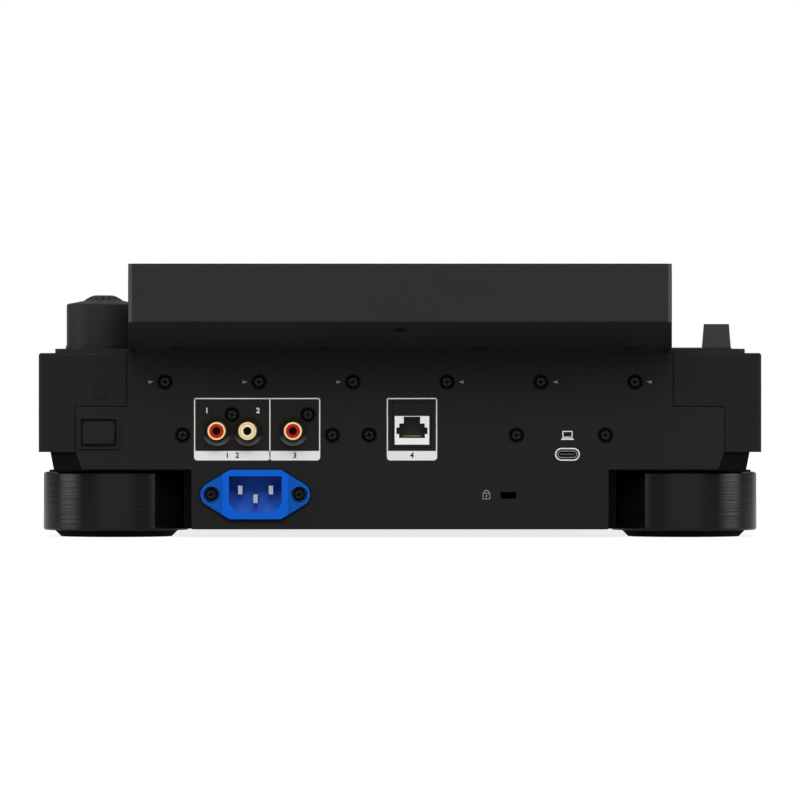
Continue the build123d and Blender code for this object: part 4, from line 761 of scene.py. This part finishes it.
def under_display(x, run):
    """A screw's seat up the slope of the display's underside, in its recess."""
    return (
        x,
        PANEL + run * math.cos(SLOPE) - RECESS * DOWN[1],
        84.0 + run * math.sin(SLOPE) - RECESS * DOWN[2],
    )


display_places = [under_display(x, 6.0) for x in (101.5, 35.0, -36.5, -105.0)]
display_places.append(under_display(0.0, 36.0))
for name, places, facing in (
    ("panel_screws", panel_places, (0.0, 1.0, 0.0)),
    ("inlet_screws", inlet_places, (0.0, 1.0, 0.0)),
    ("display_screws", display_places, DOWN),
):
    numbers = {"Facing": facing, "Recess Material": recess_black}
    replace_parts(grow(name, screws, places, numbers, screw_black, "screw_black"), "case_screws")

# Black linings in the recesses round the heads on the panel and on the inlet's flange: painted
# shade on the recess walls.
cups = bmesh.new()
for places, low, high in ((panel_places, -0.99, 0.01), (inlet_places, 0.91, 1.51)):
    for x, _, z in places:
        hoop(cups, circle(x, z, 3.64), circle(x, z, 3.15), on_panel, low, high)
piece("screw_shade_cups", cups, recess_black, "screw_black")

# ---------------------------------------------------------------- print on the rear panel
white, light, dark, black = (bmesh.new() for _ in range(4))

# The sockets' frames: white lines over a white strip that holds a number.
FRAME_TOP, FRAME_LOW, STRIP_TOP, LINE = 63.5, 35.1, 39.4, 0.5
on_strip = facing_back(PANEL + PROUD)
for high_x, low_x, label in ((93.45, 59.2, "1   2"), (59.2, 36.55, "3"), (5.75, -16.65, "4")):
    middle, width = (high_x + low_x) / 2, high_x - low_x + LINE
    plate(white, bar(middle, FRAME_TOP - LINE / 2, width, LINE), on_panel)
    strip_z, strip_height = (STRIP_TOP + FRAME_LOW) / 2, STRIP_TOP - FRAME_LOW
    strip = rounded(middle, strip_z, width, strip_height, 1.6, corners=(0, 0, 1, 1))
    plate(white, strip, on_panel)
    numeral(dark, label, middle, 37.3, 3.4, on_strip, flip=-1)
for x in (93.45, 59.2, 36.55, 5.75, -16.65):
    upright_bar = bar(x, (FRAME_TOP + STRIP_TOP) / 2, LINE, FRAME_TOP - STRIP_TOP)
    plate(white, upright_bar, on_panel)
numeral(white, "1", 87.9, 57.7, 3.4, on_panel, flip=-1)
numeral(white, "2", 64.6, 57.7, 3.4, on_panel, flip=-1)

# The frame of the data socket, and the laptop over it.
x, z = DATA_SOCKET
hoop(white, rounded(x, z, 11.3, 5.8, 2.9), rounded(x, z, 10.2, 4.7, 2.35), on_panel)
hoop(white, rounded(x, 47.0, 4.6, 3.0, 0.3), rounded(x, 47.0, 3.8, 2.2, 0.1), on_panel)
plate(white, [(x - 3.0, 44.5), (x + 3.0, 44.5), (x + 2.5, 45.2), (x - 2.5, 45.2)], on_panel)

# The padlock beside the lock slot.
x, z = LOCK_SLOT
hoop(light, rounded(x, z, 3.5, 3.0, 0.3), rounded(x, z, 2.7, 2.2, 0.1), on_panel)
plate(light, arc(x, z + 1.5, 1.1, 0.45, 0, 180, 12), on_panel)
plate(light, bar(x, z, 0.6, 1.1), on_panel)

# Arrows at the top row of screws, which open the case.
top_z, top_row = SCREW_ROWS[0]
for x in top_row:
    side = 1 if x > 0 else -1
    plate(light, triangle(x + side * 6.4, top_z, -side * 2.3, 1.5), on_panel)

# The round ends of the inlet's flange: how far out their middle is, and half of their sweep.
END_OUT = 19.48
END_SWEEP = math.pi / 2 - math.atan2(11.25, 18.27)


def flange(end_radius, flat, rise):
    """The inlet's outline: two round ends joined by slopes to a flat top and bottom."""
    x, z = INLET
    points = []
    for side in (1, -1):
        for step in range(13):
            angle = (step / 6 - 1) * END_SWEEP
            across = END_OUT + end_radius * math.cos(angle)
            points.append((x + side * across, z + side * end_radius * math.sin(angle)))
        points += [(x + side * flat, z + side * rise), (x - side * flat, z + side * rise)]
    return points


# Painted shade in gaps: a dark line round the inlet's flange, and the lines round the network
# socket's window.
window = (NETWORK_X - 0.1, 51.2)
hoop(black, flange(6.0, 11.85, 11.7), flange(4.9, 11.5, 10.6), on_panel, high=0.03)
hoop(black, bar(*window, 18.1, 20.8), bar(*window, 17.5, 20.2), on_panel, high=0.03)
piece("panel_print_white", white, print_white, "panel_metal")
piece("panel_print_grey", light, print_grey, "panel_metal")
piece("panel_numbers", dark, print_dark, "panel_metal")
piece("gap_shade_lines", black, gap_shade_black, "panel_metal")

# The raised power sign on the shell over its button.
x, z = POWER_SIGN
power_sign = [arc(x, z, 3.1, 0.8, 118, 304, 36), bar(x, z + 1.9, 0.8, 4.2)]
flat_piece("power_sign", power_sign, on_panel, case_black, "case_plastic", high=0.3)

# ---------------------------------------------------------------- phono jacks and network socket
SLEEVE = [(4.1, -2.9), (4.19, -2.9), (4.19, 8.8), (4.0, 9.05), (3.3, 9.05), (3.15, 8.8), (4.1, 8.8)]
DISH = [(6.75, 0.04), (6.6, 0.04), (5.0, -1.56), (5.05, -2.0), (6.6, -0.3)]
INSERT = [(3.14, 8.7), (3.12, 9.02), (2.1, 9.1), (1.75, 8.9), (1.75, 8.7)]
sleeves, reds, creams, dishes = (bmesh.new() for _ in range(4))
for x, inserts in ((83.25, reds), (69.25, creams), (48.6, reds)):
    for shape, profile in ((sleeves, SLEEVE), (dishes, DISH), (inserts, INSERT)):
        lathe(shape, profile, about(on_panel, x, JACK_Z))
piece("phono_dishes", dishes, dish_black, "panel_metal")
piece("phono_sleeves", sleeves, gold, "jack_metal")
piece("phono_inserts_red", reds, insert_red, "jack_metal")
piece("phono_insert_cream", creams, insert_cream, "jack_metal")

# The network socket: a shell whose stepped mouth has its latch's notch on top. Each outline is
# given by its half on the +X side, from the top down.
mouth = [
    (3.75, 55.0), (3.75, 51.9), (5.8, 51.9), (5.8, 50.1),
    (7.05, 50.1), (7.05, 47.1), (5.9, 47.1), (5.9, 45.3),
]
edge = [
    (3.75, 55.3), (7.85, 55.3), (7.85, 52.6), (7.85, 51.2),
    (7.85, 50.1), (7.85, 47.1), (7.85, 45.6), (7.85, 42.3),
]
for half in (mouth, edge):
    half += [(-u, w) for u, w in reversed(half)]
shell = bmesh.new()
on_network = about(on_panel, NETWORK_X, 0.0)
levels = ((edge, -21.0), (edge, 0.0), (mouth, 0.0), (mouth, -12.0))
loft(shell, [[shell.verts.new(on_network(u, w, h)) for u, w in line] for line, h in levels])
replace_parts(piece("network_shell", shell, shell_silver, "port_metal"), "lan_port")
grow(
    "network_contacts", rows, [(NETWORK_X - 3.57, PANEL - 6.5, 46.2)],
    {"Count": 8, "Step": (1.02 * MM, 0.0, 0.0), "Bar": (0.4 * MM, 9.0 * MM, 0.3 * MM)},
    gold, "port_metal",
)

# ---------------------------------------------------------------- small trim
# Collars on the deck inside and round the selector knob's skirt.
collar = bmesh.new()
for profile in (
    [(10.8, 0.0), (12.5, 0.0), (12.5, 2.0), (12.1, 2.4), (10.8, 2.4)],
    [(17.15, 0.0), (17.45, 0.0), (17.45, 1.4), (17.15, 1.55)],
):
    lathe(collar, profile, about(on_deck, *SELECTOR))
piece("selector_collar", collar, deck_black, "deck_metal")

# Washers over the feet.
washers = bmesh.new()
WASHER = [(26.0, 29.75), (31.0, 29.75), (31.0, 30.55), (26.0, 30.55)]
for y in (142.5, -184.0):
    for x in (130.5, -130.5):
        lathe(washers, WASHER, about(level(0.0), x, y))
piece("foot_washers", washers, recess_black, "chassis_metal")

# Ridges before and behind the lever.
ridges = [bar(LEVER[0], LEVER[1] + side * 7.0, 13.8, 1.4) for side in (-1, 1)]
flat_piece("lever_ridges", ridges, on_deck, deck_black, "deck_metal", high=1.45)

# Ribs on the tub beside the rear feet, in near black: painted shade.
ribs = [bar(side * 96.6, 18.5, 4.0, 29.4) for side in (1, -1)]
flat_piece("tub_ribs", ribs, facing_back(163.0), recess_black, "chassis_metal", low=-3.0, high=3.0)

# The cheeks that widen the rear of the display housing: the Y of each upright section and how
# far out it reaches. Their foot stays over the deck, and their top follows the sloping face.
CHEEK = (
    (159.0, 119.0), (163.0, 123.75), (178.5, 123.75),
    (185.8, 123.45), (220.5, 121.95), (224.7, 121.75),
)
CHEEK_FOOT, CHEEK_TOP, TOP_EDGE_Y, FACE_FALL = 86.05, 123.65, 220.5, 0.2316
cheeks = bmesh.new()
for side in (1, -1):
    sections = []
    for y, out in CHEEK:
        inner = 115.8 + (y - 75.0) * 0.03663
        low = max(CHEEK_FOOT, UNDERSIDE_Z + (y - 178.5) * UNDERSIDE_RISE)
        high = CHEEK_TOP - max(0.0, TOP_EDGE_Y - y) * FACE_FALL
        corners = ((inner, low), (out, low), (out, high), (inner, high))
        sections.append([cheeks.verts.new(Vector((side * x, y, z)) * MM) for x, z in corners])
    loft(cheeks, sections)
piece("display_cheeks", cheeks, display_black, "case_plastic")

# The bristles of the disc slot.
for name, side in (("slot_bristles_high", 1), ("slot_bristles_low", -1)):
    grow(
        name, rows, [(-63.6, -225.0, DISC_SLOT_Z + side * 1.75)],
        {"Count": 160, "Step": (0.8 * MM, 0.0, 0.0), "Bar": (0.45 * MM, 0.6 * MM, 1.5 * MM)},
        rubber, "surround_plastic",
    )

# ---------------------------------------------------------------- marks on the deck and the keys
marks = bmesh.new()
for number in range(8):
    numeral(marks, str(number + 1), (number - 3.5) * 25.5, 61.6, 4.2, on_deck)
for number, y in enumerate((122.0, 103.0, 84.0)):
    numeral(marks, str(number + 1), -144.2, y, 4.0, on_deck)

# Zero, minus and plus beside the tempo scale.
x, y = FADER[0] + 16.6, FADER[1]
numeral(marks, "0", x, y, 4.0, on_deck)
for outline in (bar(x, y + 41.0, 3.0, 0.6), bar(x, y - 41.0, 3.0, 0.6), bar(x, y - 41.0, 0.6, 3.0)):
    plate(marks, outline, on_deck)
piece("deck_marks", marks, print_white, "deck_metal")

# Scales.
for name, count, step, length in (
    ("tempo_scale_fine", 31, 3.0, 2.4), ("tempo_scale_coarse", 7, 15.0, 4.2),
):
    grow(
        name, rows, [(FADER[0] + 13.0, FADER[1] - 45.0, DECK)],
        {"Count": count, "Step": (0.0, step * MM, 0.0), "Bar": (length * MM, 0.35 * MM, 0.1 * MM)},
        print_white, "deck_metal",
    )
grow(
    "adjust_scale", dials, [(*ADJUST, DECK)],
    {"Count": 11, "Radius": 12.4 * MM, "Start": math.radians(-60),
     "Step Angle": math.radians(30), "Mark": (2.2 * MM, 0.4 * MM, 0.1 * MM)},
    print_white, "deck_metal",
)
grow(
    "jog_display_scale", dials, [(*JOG, JOG_FACE)],
    {"Count": 60, "Radius": 24.5 * MM, "Start": 0.0, "Step Angle": math.tau / 60,
     "Mark": (1.8 * MM, 0.35 * MM, 0.06 * MM)},
    print_grey, "lcd_panel",
)


def key_sign(name, outlines):
    flat_piece(f"{name}_sign", outlines, on_key, print_dark, "key_plastic", name)


# Signs on the keys, each on the body of its key. way is +1 for a sign that points to +X.
ENDS = (("back", -144.5, -1), ("forward", -125.5, 1))
for end, x, way in ENDS:
    arrows = [triangle(x + run, -92.0, way * 3.0, 3.2) for run in (-1.6, 1.6)]
    key_sign(f"search_{end}", arrows)
for end, x, way in ENDS:
    arrow = triangle(x - way * 0.6, -112.0, way * 3.4, 3.2)
    key_sign(f"track_{end}", [arrow, bar(x + way * 1.9, -112.0, 0.7, 3.2)])
key_sign("eject", [[(132.8, 51.6), (137.2, 51.6), (135.0, 54.2)], bar(135.0, 50.4, 4.4, 0.8)])
key_sign("back", [triangle(133.2, 98.0, -2.6, 3.0), bar(136.0, 98.0, 3.4, 0.7)])
x, y = PLAY
play_sign = [triangle(x - 3.0, y, 6.0, 6.4), bar(x + 1.4, y, 1.3, 6.0), bar(x + 4.0, y, 1.3, 6.0)]
flat_piece("play_sign", play_sign, on_round, print_dark, "play_plastic", "play")
x, y = CUE
cue_sign = [triangle(x + 0.8, y, -6.0, 6.4), bar(x - 3.6, y, 1.3, 6.0)]
flat_piece("cue_sign", cue_sign, on_round, print_dark, "cue_plastic", "cue")

# Lines on the adjust knob, the tempo fader and the jog wheel.
pointer = bar(ADJUST[0], ADJUST[1] + 5.4, 0.8, 5.4)
marker = bar(JOG[0], JOG[1] + 91.0, 1.2, 5.5)
for name, outline, z, slot, body in (
    ("adjust_pointer", pointer, ADJUST_TOP, "knob_plastic", "jog_adjust"),
    ("fader_line", bar(*FADER, 20.4, 1.1), FADER_GROOVE, "knob_plastic", "fader"),
    ("jog_marker", marker, JOG_FACE, "jog_top", "jog"),
):
    flat_piece(name, [outline], level(z), print_white, slot, body)

# ---------------------------------------------------------------- studio
FLOOR_SIZE = 16000.0
floor_paint = bpy.data.materials.new("floor")
floor_paint.use_nodes = True
graph = Graph(floor_paint.node_tree)
away = distance(graph, graph.add("ShaderNodeTexCoord", output="Object"), 0.0, 0.0)
clear = graph.ramp(away, 500.0, 2600.0, 0.8, 1.0, "LINEAR")
seen = graph.ray("Camera") * clear + graph.ray("Glossy") * 0.2 + graph.ray("Transmission") * 0.6
pale = graph.add("ShaderNodeBsdfDiffuse", (), {"Color": (0.25, 0.25, 0.25, 1.0)})
glow = graph.add("ShaderNodeEmission", (), {"Strength": seen})
surface = graph.add("ShaderNodeAddShader", (), {0: pale, 1: glow})
graph.add("ShaderNodeOutputMaterial", (), {"Surface": surface})
floor_shape = bmesh.new()
disc = rounded(0.0, 0.0, FLOOR_SIZE, FLOOR_SIZE, FLOOR_SIZE / 2 - 1.0, 24)
plate(floor_shape, disc, level(0.0), -20.0, 0.0)
floor = bpy.data.objects.new("floor", mesh_of("floor", floor_shape, floor_paint))
scene.collection.objects.link(floor)

# The world is white to the camera and through glass, and an even grey to diffuse light. What
# the finishes mirror depends on the direction: the backdrop, bands at both sides that draw the
# feet, a patch on the camera's side and a soft sky.
AMBIENT = 0.3
world = bpy.data.worlds.new("studio")
scene.world = world
world.use_nodes = True
graph = Graph(world.node_tree)
sky = graph.add("ShaderNodeTexCoord", output="Generated")
ahead, rise = graph.axis(sky, "Y"), graph.axis(sky, "Z")
backdrop = graph.ramp(ahead, -0.96, -0.7, 0.95, 0.0) * graph.ramp(abs(rise), 0.1, 0.3, 1.0, 0.0)
side_bands = graph.ramp(ahead, -0.25, 0.12, 0.0, 5.2) * graph.ramp(ahead, 0.25, 0.62, 1.0, 0.0)
side_bands = side_bands * graph.ramp(abs(rise), 0.07, 0.16, 1.0, 0.0)
patch = graph.ramp(ahead, 0.8, 0.97, 0.0, 0.85)
mirrored = backdrop + side_bands + patch + graph.ramp(rise, 0.2, 0.6, 0.0, 0.42) + 0.05
direct = graph.ray("Camera") + graph.ray("Transmission")
others = graph.ray("Glossy") * (mirrored - AMBIENT) + AMBIENT
strength = direct + (1.0 - direct) * others
white_level = {"Color": (1.0, 1.0, 1.0, 1.0), "Strength": strength}
shown = graph.add("ShaderNodeBackground", (), white_level)
graph.add("ShaderNodeOutputWorld", (), {"Surface": shown})

# Soft lamps that face the middle of the machine: place and size in metres, and power.
MIDDLE = Vector((0.0, 0.1, 0.06))
for name, place, width, height, power in (
    ("side_left", (1.7, 0.4, 0.35), 1.1, 1.1, 19),
    ("side_right", (-1.7, 0.4, 0.35), 1.1, 1.1, 19),
    ("overhead", (0.0, 0.2, 2.2), 1.6, 1.6, 28),
    ("rear_fill", (0.0, 2.4, 1.5), 1.8, 1.2, 58),
    ("front_fill", (0.3, -2.4, 1.6), 1.8, 1.0, 40),
):
    lamp = bpy.data.lights.new(name, "AREA")
    lamp.shape, lamp.size, lamp.size_y, lamp.energy = "RECTANGLE", width, height, power
    holder = bpy.data.objects.new(name, lamp)
    holder.location = place
    holder.rotation_euler = (MIDDLE - holder.location).to_track_quat("-Z", "Y").to_euler()
    holder.visible_camera = holder.visible_glossy = False
    scene.collection.objects.link(holder)

lens = bpy.data.cameras.new("camera")
lens.lens, lens.sensor_width = 296.7, 36.0
lens.clip_start, lens.clip_end = 0.1, 100.0
camera = bpy.data.objects.new("camera", lens)
camera.location = (0.0, 3.1785, 0.0626)
camera.rotation_euler = (math.radians(90), 0.0, math.radians(180))
scene.collection.objects.link(camera)
scene.camera = camera
scene.view_settings.view_transform = "Standard"
